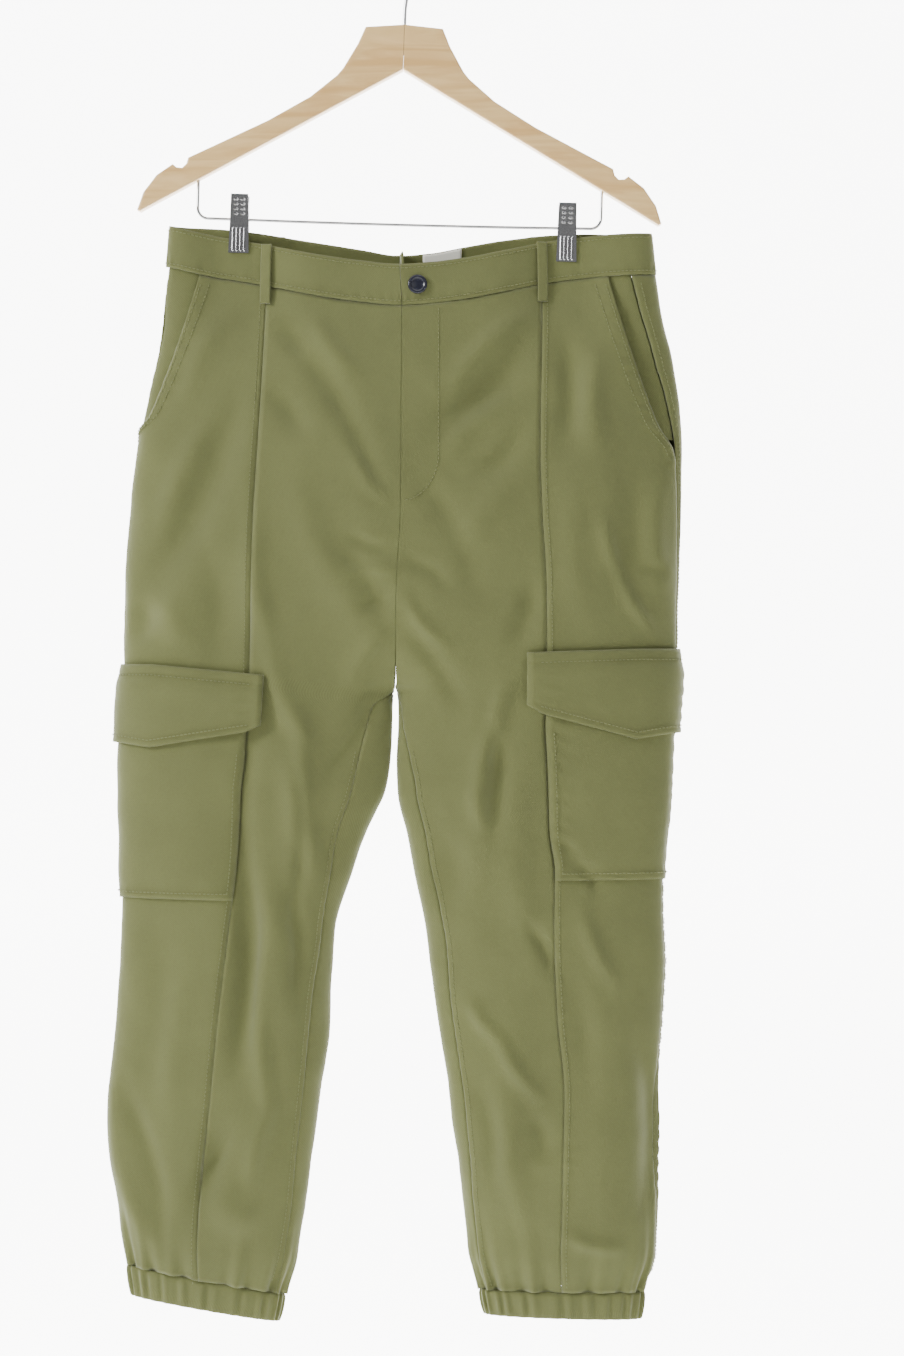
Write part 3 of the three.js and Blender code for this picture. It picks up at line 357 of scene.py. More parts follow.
def relief(half, x, y, z, t):
    """How far the cloth stands out of the bare surface: creases, soft rumples, seam puckers, the
    gathers over the cuff and the rolled edge of the hand pocket."""
    out = OUT[half]
    front = np.mod(t, 2) < 1
    rows = rows_of(half)
    amount = ridges(CREASES, front, x, z, 0.3, 0.7, 1.25, 0.06) * CREASE_GAIN
    amount += 1.8 * wander(x, y * 2, z * 0.7, 62) + 0.8 * wander(x, y * 2, z * 0.8, 27)
    amount += 0.22 * wander(x, y, z, 11)
    seam = out * (x - curve(rows, 2, z))
    on_seam = np.where(front, bell(seam / 1.6), 0)
    amount += -0.3 * on_seam + np.where(front, 0.42 * pucker(seam - 4, z, 12.5), 0)
    inner, _ = inner_edge(half, z)
    below = z < CROTCH_Z
    inseam = out * (x - inner) - curve(rows, 4, z)
    beside_inseam = 0.4 * pucker(inseam, z, 13.5, 4) - 0.3 * bell(inseam / 1.5)
    amount += np.where(front & below, beside_inseam, 0)
    rise = np.where(below, 99, np.abs(x - inner))
    amount += 0.45 * pucker(rise, z, 12, 6)
    beside = (t - t_side(half, z)) * 75
    amount += 0.55 * pucker(beside - 3, z, 13, 5) - 0.35 * bell(beside / 1.4)
    down = down_mouth(half, z)
    edge = (t_mouth(half, z) - t) * 150
    rolled = np.where(front & (down < 1) & (edge > -1), bell((edge - 4) / 4), 0)
    amount += rolled * (0.8 + 0.7 * np.sin(2 * np.pi * z / 14 + 2 * wander(z, 1, 1, 30)))
    over_cuff = np.maximum(z - cuff_line(half, x, z, 0), 0)
    gathers = np.cos(2 * np.pi * 15 * t / 2 + 2.0 * wander(t * 40, 5, 0, 9)) + 0.5 * np.cos(
        2 * np.pi * 26 * t / 2 + 3.0 * wander(t * 40, 9, 0, 6))
    amount += 2.3 * gathers * np.exp(-over_cuff / 24) * np.where(over_cuff < 140, 1, 0)
    amount += 1.6 * bell((over_cuff - 26) / 20)
    return amount * np.clip(openness(x, z) * 1.15, 0.05, 1)


def cloth(half, z, t, lift=0.0, rumpled=1.0):
    """A place on the cloth: the bare surface, moved along its own normal by relief and lift."""
    z, t = np.broadcast_arrays(np.asarray(z, float), np.asarray(t, float))
    step_z, step_t = 1.2, 0.006
    here = bare_surface(half, z, t)
    above = np.where((z <= CROTCH_Z) & (z + step_z > CROTCH_Z), z, z + step_z)
    under = np.where((z > CROTCH_Z) & (z - step_z <= CROTCH_Z), z, z - step_z)
    low_t = np.where((z > CROTCH_Z) & (t - step_t < 0), t, t - step_t)
    high_t = np.where((z > CROTCH_Z) & (t + step_t > 2), t, t + step_t)
    along = bare_surface(half, z, high_t) - bare_surface(half, z, low_t)
    fall = bare_surface(half, under, t) - bare_surface(half, above, t)
    normal = np.cross(along, fall) * -OUT[half]
    normal /= np.maximum(np.linalg.norm(normal, axis=-1, keepdims=True), 1e-9)
    amount = rumpled * relief(half, here[..., 0], here[..., 1], z, t) + lift
    return (here + normal * amount[..., None]) * MM, normal


# ---------------------------------------------------------------- meshes
def new_object(name, vertices, faces, uv=None, material=None, smooth_shading=True):
    name = name.replace(" ", "_")
    mesh = bpy.data.meshes.new(name)
    mesh.from_pydata(vertices.reshape(-1, 3).tolist(), [], [list(face) for face in faces])
    if uv is not None:
        layer = mesh.uv_layers.new(name="cloth")
        loops = np.empty(len(mesh.loops), dtype=np.int32)
        mesh.loops.foreach_get("vertex_index", loops)
        layer.data.foreach_set("uv", uv.reshape(-1, 2)[loops].ravel().astype(np.float32))
    mesh.polygons.foreach_set("use_smooth", np.full(len(mesh.polygons), smooth_shading))
    mesh.update()
    piece = bpy.data.objects.new(name, mesh)
    bpy.context.scene.collection.objects.link(piece)
    if material is not None:
        mesh.materials.append(material)
    return piece


def declare(piece, slot, *nodes):
    """Hides the nodes that a piece stands for and attaches it to the body that it rides on. The
    finish, slot, is not used.
    """
    if nodes:
        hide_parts(*nodes)
    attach(piece, "root")


def shares(z):
    """Shares down and across a grid, each from 0 to 1."""
    return np.linspace(0, 1, z.shape[0])[:, None], np.linspace(0, 1, z.shape[1])[None]


def level(height):
    """A straight edge at one height, for panel_grid."""
    return lambda half, place: height + 0 * place[..., 0]


def grid_faces(rows, columns, flip, ring=False):
    """Quads over a grid of points, closed round the columns for a ring."""
    j, i = np.meshgrid(np.arange(rows - 1), np.arange(columns if ring else columns - 1),
                       indexing="ij")
    after = (i + 1) % columns
    quads = np.stack([j * columns + i, (j + 1) * columns + i, (j + 1) * columns + after,
                      j * columns + after], axis=-1).reshape(-1, 4)
    return quads[:, ::-1] if flip else quads


def cloth_piece(name, half, z, t, lift, thickness, material, slot, node, ring=False,
                rumpled=1.0):
    """A wall of cloth over arrays of height and t, with its own even map in metres."""
    points, _ = cloth(half, z, t, lift, rumpled)
    rows, columns = z.shape
    across = np.zeros((rows, columns))
    across[:, 1:] = np.cumsum(np.linalg.norm(np.diff(points, axis=1), axis=-1), axis=1)
    uv = np.stack([across, z * MM], axis=-1)
    faces = grid_faces(rows, columns, half == "right", ring)
    piece = new_object(name, points, faces, uv, material)
    wall = piece.modifiers.new("Wall", "SOLIDIFY")
    wall.thickness = thickness * MM
    wall.offset = -1
    declare(piece, slot, node)
    return piece


def panel_grid(half, start, end, top, bottom, columns, rows):
    """Heights and t between two seams and two edges. An edge depends on x and x on the height, so
    the two are settled in turn."""
    v = np.linspace(0, 1, rows)[:, None] * np.ones((1, columns))
    u = np.ones((rows, 1)) * np.linspace(0, 1, columns)[None]
    z = blend(-320.0, -1150.0, v)
    for _ in range(5):
        t = blend(start(half, z), end(half, z), u)
        place = bare_surface(half, z, t)
        z = blend(top(half, place), bottom(half, place), v)
    return z, blend(start(half, z), end(half, z), u)


def band_bottom(half, place):
    return waist_top(place[..., 0], place[..., 1]) - BAND_HEIGHT


def cuff_top(half, place):
    return cuff_line(half, place[..., 0], place[..., 2], 0)


# ---------------------------------------------------------------- materials
def material(name, color, roughness, metallic=0.0):
    made = bpy.data.materials.new(name)
    made.use_nodes = True
    shader = made.node_tree.nodes["Principled BSDF"]
    shader.inputs["Base Color"].default_value = (*color, 1)
    shader.inputs["Roughness"].default_value = roughness
    shader.inputs["Metallic"].default_value = metallic
    return made, made.node_tree, shader


def add_node(tree, kind, **values):
    """A shader node with some of its inputs set, named with _ for a space."""
    node = tree.nodes.new("ShaderNode" + kind)
    for name, value in values.items():
        node.inputs[name.replace("_", " ")].default_value = value
    return node


def add_tint(tree, factor, dark, light, shader):
    """Mixes two colours by a factor, into the shader's base colour."""
    tint = tree.nodes.new("ShaderNodeMix")
    tint.data_type = "RGBA"
    tint.inputs["A"].default_value = (*dark, 1)
    tint.inputs["B"].default_value = (*light, 1)
    tree.links.new(factor, tint.inputs["Factor"])
    tree.links.new(tint.outputs["Result"], shader.inputs["Base Color"])


def scaled_sum(tree, value, scale, other):
    """A value times a scale, plus another value."""
    node = tree.nodes.new("ShaderNodeMath")
    node.operation = "MULTIPLY_ADD"
    tree.links.new(value, node.inputs[0])
    node.inputs[1].default_value = scale
    tree.links.new(other, node.inputs[2])
    return node.outputs[0]


def twill_material(color):
    """Cotton twill: fine diagonal ribs on the cloth's own map, specks, uneven dye, soft sheen."""
    made, tree, shader = material("Olive twill", color, 0.88)
    shader.inputs["Sheen Weight"].default_value = 0.25
    shader.inputs["Sheen Roughness"].default_value = 0.5
    shader.inputs["Specular IOR Level"].default_value = 0.25
    link = tree.links.new
    coords = add_node(tree, "TexCoord")
    turn = add_node(tree, "Mapping", Rotation=(0, 0, math.radians(52)))
    link(coords.outputs["UV"], turn.inputs["Vector"])
    ribs = add_node(tree, "TexWave", Scale=260, Distortion=1.2, Detail=2)
    link(turn.outputs["Vector"], ribs.inputs["Vector"])
    specks = add_node(tree, "TexNoise", Scale=900, Detail=3)
    link(coords.outputs["Object"], specks.inputs["Vector"])
    dye = add_node(tree, "TexNoise", Scale=14, Detail=5)
    link(coords.outputs["Object"], dye.inputs["Vector"])
    weave = scaled_sum(tree, ribs.outputs["Fac"], 0.5, specks.outputs["Fac"])
    shade = scaled_sum(tree, dye.outputs["Fac"], 0.9, weave)
    ramp = add_node(tree, "MapRange", From_Min=0.6, From_Max=1.9)
    link(shade, ramp.inputs["Value"])
    add_tint(tree, ramp.outputs["Result"], [c * 0.8 for c in color], [c * 1.18 for c in color],
             shader)
    bump = add_node(tree, "Bump", Strength=0.35, Distance=0.0004)
    link(weave, bump.inputs["Height"])
    link(bump.outputs["Normal"], shader.inputs["Normal"])
    return made


def pine_material(color):
    """Varnished pine: stretched rings along each arm, with a few darker growth lines."""
    made, tree, shader = material("Varnished pine", color, 0.38)
    shader.inputs["Coat Weight"].default_value = 0.25
    link = tree.links.new
    coords = add_node(tree, "TexCoord")
    stretch = add_node(tree, "Mapping", Scale=(3, 22, 26))
    link(coords.outputs["Object"], stretch.inputs["Vector"])
    grain = add_node(tree, "TexNoise", Scale=3.2, Detail=6, Distortion=1.4)
    link(stretch.outputs["Vector"], grain.inputs["Vector"])
    ramp = add_node(tree, "MapRange", From_Min=0.35, From_Max=0.65)
    link(grain.outputs["Fac"], ramp.inputs["Value"])
    line = (color[0] * 0.82, color[1] * 0.72, color[2] * 0.6)
    add_tint(tree, ramp.outputs["Result"], line, color, shader)
    return made


def shared(name, build):
    return bpy.data.materials.get(name) or build()


def looks():
    chosen = bpy.context.scene.trousers_looks
    return {
        "twill": shared("Olive twill", lambda: twill_material(tuple(chosen.cloth_color))),
        "thread": shared("Thread", lambda: material("Thread", tuple(chosen.thread_color), 0.8)[0]),
        "pine": shared("Varnished pine", lambda: pine_material(tuple(chosen.wood_color))),
        "nickel": shared("Nickel", lambda: material("Nickel", (0.62, 0.62, 0.63), 0.16, 1)[0]),
        "button": shared("Button", lambda: material("Button", (0.012, 0.013, 0.024), 0.25)[0]),
        "tape": shared("Tape", lambda: material("Tape", (0.75, 0.74, 0.68), 0.85)[0]),
    }


# ---------------------------------------------------------------- settings
class TrousersLooks(bpy.types.PropertyGroup):
    """Colours of the cloth, thread and wood"""

    cloth_color: bpy.props.FloatVectorProperty(
        name="Cloth", description="Colour of the twill", subtype="COLOR", size=3,
        default=(0.128, 0.139, 0.048), min=0, max=1)
    thread_color: bpy.props.FloatVectorProperty(
        name="Thread", description="Colour of the seams' stitches", subtype="COLOR", size=3,
        default=(0.165, 0.176, 0.07), min=0, max=1)
    wood_color: bpy.props.FloatVectorProperty(
        name="Wood", description="Colour of the hanger's arms", subtype="COLOR", size=3,
        default=(0.8, 0.55, 0.24), min=0, max=1)


class TrousersSizes(bpy.types.PropertyGroup):
    """Sizes of the cloth's details"""

    wall: bpy.props.FloatProperty(
        name="Cloth thickness", description="Thickness of one layer, in millimetres",
        default=1.1, min=0.5, max=2)
    stitch: bpy.props.FloatProperty(
        name="Stitch length", description="Distance from stitch to stitch, in millimetres",
        default=3.4, min=2, max=6)
    cell: bpy.props.FloatProperty(
        name="Cell", description="Distance between the points of a panel, in millimetres",
        default=3.2, min=1.5, max=10)


def measured(half, z, t):
    """Width, length and area of a piece, measured on the smooth surface that it is built on."""
    points = bare_surface(half, z, t) * MM
    across = np.linalg.norm(np.diff(points, axis=1), axis=-1)
    down = np.linalg.norm(np.diff(points, axis=0), axis=-1)
    area = float((across[:-1] * 0.5 + across[1:] * 0.5).mean(axis=1) @ down.mean(axis=1)
                 * across.shape[1])
    return float(across.sum(axis=1).max()), float(down.sum(axis=0).max()), area


def add_sheet(name, node, half, z, t, lift, thickness, slot="twill", look="twill",
              ring=False, rumpled=1.0, fullness=1.0):
    """A cloth piece. Its flat size is measured on the piece's own surface and comes from no
    pattern, but is not kept. fullness is an assumed factor for cloth that is gathered."""
    piece = cloth_piece(name, half, z, t, lift, thickness, looks()[look], slot, node, ring,
                        rumpled)
    width, length, area = measured(half, z, t)
    flat = (round(width * fullness, 3), round(length, 3))
    area = round(min(area * fullness, MOST_AREA * flat[0] * flat[1]), 6)
    return piece


# ---------------------------------------------------------------- pieces
class BuildPanels(bpy.types.Operator):
    """The front, side and back panels of both legs"""

    bl_idname = "trousers.panels"
    bl_label = "Panels"

    def execute(self, context):
        sizes = context.scene.trousers_sizes
        rows = int(850 / sizes.cell)
        gap = 0.0003
        for half in OUT:
            kinds = {
                "front": (t_inseam, t_seam, 44),
                "side": (t_seam, t_mouth, 40),
                "back": (t_side, lambda h, z: 2 + t_inseam(h, z), 84),
            }
            for kind, (start, end, columns) in kinds.items():
                z, t = panel_grid(
                    half, lambda h, z, s=start: s(h, z) + gap, lambda h, z, e=end: e(h, z) - gap,
                    lambda h, p: band_bottom(h, p) - 0.4, lambda h, p: cuff_top(h, p) + 0.3,
                    int(columns * 3.2 / sizes.cell), rows)
                add_sheet(f"{kind.title()} panel {half}", f"{kind}_{half}", half, z, t, 0.0,
                          sizes.wall)
        return {"FINISHED"}


def flap_edges(half, u):
    """Top edge and drop of a flap at shares u across it. The drop grows evenly along the cloth to
    the point and shrinks evenly after it."""
    front_top, side_top, drop, point, overhang, reach = FLAP[half]
    level = front_top - drop
    share = np.linspace(0, 1, 200)
    t = blend(t_seam(half, level) - overhang / 175, t_past_fold(half, level, reach), share)
    line = bare_surface(half, np.full_like(t, level), t)
    gone = np.concatenate([[0], np.cumsum(np.linalg.norm(np.diff(line, axis=0), axis=1))])
    outward = OUT[half] * line[:, 0]
    fold = int(np.argmax(outward))
    tip = np.interp(FLAP_POINT[half], outward[:fold], gone[:fold])
    at = np.interp(u, share, gone)
    rise = np.where(at < tip, at / tip, (gone[-1] - at) / (gone[-1] - tip))
    high = blend(front_top, side_top, np.clip(at / tip, 0, 1))
    return high, blend(drop, point, rise)


class BuildPockets(bpy.types.Operator):
    """The hand pockets' bearers, the fly's facing, and the cargo pockets with their flaps"""

    bl_idname = "trousers.pockets"
    bl_label = "Pockets"

    def execute(self, context):
        wall = context.scene.trousers_sizes.wall
        for half in OUT:
            self.bearer(half, wall)
            self.cargo_pocket(half, wall)
            self.flap(half)
        z, t = panel_grid(
            "left", lambda h, z: 0.003 + 0 * z,
            lambda h, z: t_at(h, z, 34 * np.sqrt(1 - np.clip((-440 - z) / 42, 0, 0.98) ** 2)),
            lambda h, p: band_bottom(h, p) - 1, level(-480), 14, 50)
        add_sheet("Fly facing", "fly_facing", "left", z, t, -2.0, 1.0)
        return {"FINISHED"}

    def bearer(self, half, wall):
        _, _, end_z, gape = MOUTH[half]
        z, t = panel_grid(
            half, lambda h, z: t_mouth(h, z) - 0.05, lambda h, z: t_side(h, z) - 0.0015,
            lambda h, p: band_bottom(h, p) + 5, level(end_z + 20), 22, 56)
        down = np.clip((-300 - z) / (-300 - end_z - 20), 0, 1)
        across = np.linspace(1, 0, z.shape[1])[None]
        lift = -wall - 1.0 - gape * np.sin(np.pi * down) * across**0.7
        add_sheet(f"Pocket bearer {half}", f"pocket_bearer_{half}", half, z, t, lift, wall)

    def cargo_pocket(self, half, wall):
        top, low_front, low_side, reach = CARGO[half]
        z, t = panel_grid(
            half, lambda h, z: t_seam(h, z) + 0.002, lambda h, z: t_past_fold(h, z, reach),
            level(top), lambda h, p: blend(
                low_front, low_side, np.clip(np.abs(p[..., 0] + 20) / 200 - 0.5, 0, 1)), 56, 58)
        v, u = shares(z)
        edge = np.minimum(np.minimum(u, 1 - u) * 170, (1 - v) * 176)
        puff = 1.5 * smooth(edge / 26) * np.ones_like(z)
        puckers = 0.5 * bell((edge - 5) / 4) * np.sin(2 * np.pi * (z + 1.3 * t * 170) / 13)
        lift = wall + 1.2 + puff + puckers + 0.7 * wander(t * 120, 8, z, 30)
        add_sheet(f"Cargo pocket {half}", f"cargo_pocket_{half}", half, z, t, lift, wall)

    def flap(self, half):
        front_top, side_top, drop, _, overhang, reach = FLAP[half]
        start = lambda h, z: t_seam(h, z) - overhang / 175
        z, t = panel_grid(
            half, start, lambda h, z: t_past_fold(h, z, reach),
            level(blend(front_top, side_top, 0.5)), level(front_top - drop), 60, 24)
        v, u = shares(z)
        high, length = flap_edges(half, u)
        corner = np.minimum(u, 1 - u) * 170
        length = length - 4 * bell(corner / 4)
        z = high - length * v
        t = blend(start(half, z), t_past_fold(half, z, reach), u)
        over = 1.1 + 1.2 + 1.5  # the pocket's cloth, the gap under it and its puff
        raised = 0.7 * bell((v * length - 4.5) / 3.5)
        stitched = -0.5 * bell((v * length - 9) / 1.4)
        hem = -0.4 * bell(((1 - v) * length - 6) / 1.4)
        waves = 0.5 * np.sin(2 * np.pi * u * 4 + 1.0) * v + 0.5 * wander(t * 120, 2, z, 24)
        lift = 1.6 + 1.2 + over * smooth(v * length / 20) + 0.6 * v
        lift = lift + raised + stitched + hem + waves
        add_sheet(f"Cargo flap {half}", f"cargo_flap_{half}", half, z, t, lift, 1.6)


class BuildWaist(bpy.types.Operator):
    """The waistband, its belt loops, the label and the button"""

    bl_idname = "trousers.waist"
    bl_label = "Waist"

    def execute(self, context):
        for half in OUT:
            z, t = panel_grid(
                half, lambda h, z: 0.0 * z + (0.012 if h == "right" else 0.0),
                lambda h, z: 2 - 0.0005 + 0 * z,
                lambda h, p: waist_top(p[..., 0], p[..., 1]), band_bottom, 150, 16)
            v, _ = shares(z)
            swell = 0.5 + 0.5 * np.sin(np.pi * v) ** 0.6
            ripple = 0.35 * np.sin(2 * np.pi * t * 17 + 3 * wander(t * 50, 1, 1, 9)) * bell(
                (v - 0.86) / 0.12)
            loops = [
                self.loop(f"front {half}", f"belt_loop_front_{half}", half, t_seam),
                self.loop(f"back {half}", f"belt_loop_back_{half}", half,
                          lambda h, z: t_at(h, z, OUT[h] * 108, back=True)),
            ]
            if half == "right":
                loops.append(self.loop("centre back", "belt_loop_centre_back", half,
                                       lambda h, z: 2 - 0.028 + 0 * z))
            add_sheet(f"Waistband {half}", f"waistband_{half}", half, z, t, swell + ripple, 1.9,
                      rumpled=0.35)
        self.label()
        self.button()
        return {"FINISHED"}

    def loop(self, label, node, half, middle):
        wide = 4.5
        place = bare_surface(half, np.array([-290.0]), middle(half, np.array([-290.0])))
        top = float(waist_top(place[..., 0], place[..., 1])[0]) + 0.5
        v = np.linspace(0, 1, 40)[:, None]
        u = np.linspace(-1, 1, 9)[None]
        z = top - 51 * v + 0 * u
        centre = middle(half, z)
        step = np.abs(bare_surface(half, z, centre + 0.004)[..., 0]
                      - bare_surface(half, z, centre - 0.004)[..., 0]) / 0.008
        t = np.clip(centre + u * wide / np.maximum(step, 60), 0, 2)
        bow = 1.7 * np.sin(np.pi * np.clip(v * 1.05, 0, 1)) ** 0.7
        lift = 0.9 + 1.9 + bow - 0.35 * np.abs(u) ** 4 + 0 * v
        return cloth_piece(f"Belt loop {label}", half, z, t, lift, 1.3, looks()["twill"], "twill",
                           node, rumpled=0.35)

    def label(self):
        v = np.linspace(0, 1, 14)[:, None]
        x = np.linspace(46, 13, 16)[None] + 0 * v
        z = curve(WAIST_ROWS, 2, x) - 1.0 - 26 * v
        t = t_at("left", z, x, back=True)
        add_sheet("Label", "label", "left", z, t, -1.9, 0.5, "label_tape", "tape", rumpled=0.2)

    def button(self):
        """A disc turned about its axis from a profile, on the band beside the fly."""
        z0 = np.array([-308.0])
        t0 = t_at("left", z0, 8.8)
        place, normal = cloth("left", z0, t0, 1.6, 0.35)
        normal = normal[0]
        profile = np.array([(0, 1.6), (4.6, 1.6), (5.6, 2.3), (6.6, 2.9), (7.6, 2.7), (8.2, 1.9),
                            (8.0, 0.8), (7.0, 0.1), (0, 0.1)])
        turns = 48
        angle = np.linspace(0, 2 * np.pi, turns, endpoint=False)[:, None]
        side = np.cross(normal, (0, 0, 1))
        side /= np.linalg.norm(side)
        up = np.cross(side, normal)
        rings = (profile[None, :, 0, None] * (np.cos(angle)[..., None] * side
                 + np.sin(angle)[..., None] * up) + profile[None, :, 1, None] * normal)
        points = place[0] + rings * MM
        faces = grid_faces(turns + 1, len(profile), True) % (turns * len(profile))
        piece = new_object("Waist button", points, faces, material=looks()["button"])
        weld = piece.modifiers.new("Weld", "WELD")
        weld.merge_threshold = 0.00001
        declare(piece, "button", "waist_button")


class BuildCuffs(bpy.types.Operator):
    """The gathered elastic cuffs"""

    bl_idname = "trousers.cuffs"
    bl_label = "Cuffs"

    def execute(self, context):
        for half in OUT:
            columns = 300
            v = np.linspace(0, 1, 22)[:, None]
            t = np.linspace(0, 2, columns, endpoint=False)[None] + 0 * v
            z = -1170.0 + 0 * t
            for _ in range(5):
                x = bare_surface(half, z, t)[..., 0]
                z = blend(cuff_line(half, x, z, 0), cuff_line(half, x, z, 2), v)
            pleat = np.cos(2 * np.pi * 30 * t / 2 + 2.5 * wander(t * 40, 4, 0, 7))
            pleat += 0.4 * np.cos(2 * np.pi * 47 * t / 2 + 2 * wander(t * 40, 6, 0, 5))
            lift = 0.6 + 0.95 * pleat * (0.5 + 0.5 * np.sin(np.pi * v)) - 0.7 * bell(v / 0.07)
            lift = lift + 0.8 * np.sin(np.pi * v) ** 0.5
            add_sheet(f"Cuff {half}", f"cuff_{half}", half, z, t, lift, 1.9,
                      ring=True, rumpled=0.0, fullness=1.25)
        return {"FINISHED"}


def along_run(at, gone, values):
    """Values read at distances along a run, each axis on its own."""
    return np.stack([np.interp(at, gone, values[:, k]) for k in range(3)], axis=-1)


def stitch_mesh(runs, length, width):
    """Short boxes along each run of points, each turned to the run and the cloth under it."""
    corners = np.array([(-1, -1, 0), (1, -1, 0), (1, 1, 0), (-1, 1, 0),
                        (-0.7, -0.6, 1), (0.7, -0.6, 1), (0.7, 0.6, 1), (-0.7, 0.6, 1)], float)
    quads = np.array([(0, 3, 2, 1), (4, 5, 6, 7), (0, 1, 5, 4), (1, 2, 6, 5), (2, 3, 7, 6),
                      (3, 0, 4, 7)])
    vertices, faces, count = [], [], 0
    for points, normals, pitch in runs:
        gone = np.concatenate([[0], np.cumsum(np.linalg.norm(np.diff(points, axis=0), axis=1))])
        number = max(2, int(gone[-1] / pitch))
        at = (np.arange(number) + 0.5) * gone[-1] / number
        centre, out = along_run(at, gone, points), along_run(at, gone, normals)
        run = along_run(at + 0.001, gone, points) - along_run(at - 0.001, gone, points)
        run /= np.linalg.norm(run, axis=1, keepdims=True)
        side = np.cross(out, run)
        side /= np.linalg.norm(side, axis=1, keepdims=True)
        out = np.cross(run, side)
        shape = (corners[None, :, 0, None] * run[:, None] * length / 2
                 + corners[None, :, 1, None] * side[:, None] * width / 2
                 + corners[None, :, 2, None] * out[:, None] * width * 0.7)
        vertices.append((centre[:, None] + shape).reshape(-1, 3))
        faces.append((quads[None] + 8 * (count + np.arange(number))[:, None, None]).reshape(-1, 4))
        count += number
    return np.concatenate(vertices), np.concatenate(faces)


class BuildStitches(bpy.types.Operator):
    """The lines of stitches along the seams, pockets, flaps, fly and waistband"""

    bl_idname = "trousers.stitches"
    bl_label = "Stitches"

    def execute(self, context):
        pitch = context.scene.trousers_sizes.stitch * MM
        for half in OUT:
            out = OUT[half]
            runs = []

            def run(z, t, lift, rumpled=1.0, half=half, runs=runs):
                points, normals = cloth(half, z, t, lift, rumpled)
                runs.append((points, normals, pitch))

            cuff_z = -1148 if half == "right" else -1152
            z = np.linspace(-312, cuff_z, 420)
            front_x = curve(rows_of(half), 2, z)
            run(z, t_at(half, z, front_x + out * 4.5), 0.05)
            z = np.linspace(-700, cuff_z, 240)
            inner, _ = inner_edge(half, z)
            run(z, t_at(half, z, inner + out * (curve(rows_of(half), 4, z) + 4)), 0.05)
            z = np.linspace(-305, -1140, 400)
            run(z, t_side(half, z) + 0.035, 0.05)
            _, _, end_z, _ = MOUTH[half]
            z = np.linspace(-306, end_z + 6, 90)
            run(z, t_mouth(half, z) - 0.045, 0.05)
            run(z, t_mouth(half, z) - 0.014, 0.05)
            self.pocket_runs(half, run)
            self.band_runs(half, run)
            self.sew(f"Stitches {half}", runs)
        z = np.concatenate([np.linspace(-327, -450, 80), np.linspace(-450, -490, 40)[1:]])
        bend = np.clip((-450 - z) / 40, 0, 1)
        x = 26.5 - 33 * (1 - np.sqrt(1 - 0.98 * bend**2))
        points, normals = cloth("left", z, t_at("left", z, x), 0.05)
        self.sew("Stitches fly", [(points, normals, pitch)])
        return {"FINISHED"}

    def sew(self, name, runs):
        vertices, faces = stitch_mesh(runs, STITCH_LENGTH, STITCH_WIDTH)
        declare(new_object(name, vertices, faces, material=looks()["thread"],
                           smooth_shading=False), "twill")

    def pocket_runs(self, half, run):
        overhang, reach = FLAP[half][4:]
        u = np.linspace(0.03, 0.97, 200)
        high, length = flap_edges(half, u)
        for below, lift in ((9, 4.6), (None, 8.3)):
            z = high - below if below else high - length + 6
            t = blend(t_seam(half, z) - overhang / 175, t_past_fold(half, z, reach), u)
            run(z, t, lift)
        top, low_front, low_side, reach = CARGO[half]
        z = np.linspace(top - 52, low_front + 5, 100)
        run(z, t_seam(half, z) + 0.02, 3.1)
        u = np.linspace(0.02, 0.98, 160)
        z = blend(low_front, low_side, u) + 6
        run(z, blend(t_seam(half, z), t_past_fold(half, z, reach), u), 3.4)

    def band_runs(self, half, run):
        t = np.linspace(0.02, 1.97, 500)
        for below, lift in ((31.5, 0.95), (3.5, 0.8)):
            z = np.full_like(t, -290.0)
            for _ in range(5):
                place = bare_surface(half, z, t)
                z = waist_top(place[..., 0], place[..., 1]) - below
            run(z, t, lift, 0.35)


# ---------------------------------------------------------------- hanger
def turned_wire(name, node, path, radius, sides=20):
    """A round wire: circles square to a path in the y = 0 plane, closed by a fan at each end."""
    run = np.gradient(path, axis=0)
    run /= np.linalg.norm(run, axis=1, keepdims=True)
    side = np.stack([run[:, 2], np.zeros(len(run)), -run[:, 0]], axis=-1)
    depth = np.array([0.0, 1.0, 0.0])
    angle = np.linspace(0, 2 * np.pi, sides, endpoint=False)
    rings = path[:, None] + radius * (np.cos(angle)[None, :, None] * side[:, None]
                                      + np.sin(angle)[None, :, None] * depth)
    vertices = np.concatenate([rings.reshape(-1, 3), path[:1], path[-1:]])
    faces = grid_faces(len(path), sides, False, ring=True).tolist()
    last, end = (len(path) - 1) * sides, len(path) * sides
    faces += [[end, i, (i + 1) % sides] for i in range(sides)]
    faces += [[end + 1, last + (i + 1) % sides, last + i] for i in range(sides)]
    declare(new_object(name, vertices * MM, faces, material=looks()["nickel"]), "chrome", node)


def upright(flat):
    """Points of the y = 0 plane, from their x and z."""
    return np.stack([flat[:, 0], np.zeros(len(flat)), flat[:, 1]], axis=-1)


def tilt(points):
    """Turns the hanger's upright frame about the hook by its lean."""
    angle = math.radians(HANGER_LEAN)
    x, z = points[:, 0], points[:, 2]
    return np.stack([x * math.cos(angle) + z * math.sin(angle), points[:, 1],
                     z * math.cos(angle) - x * math.sin(angle)], axis=-1)


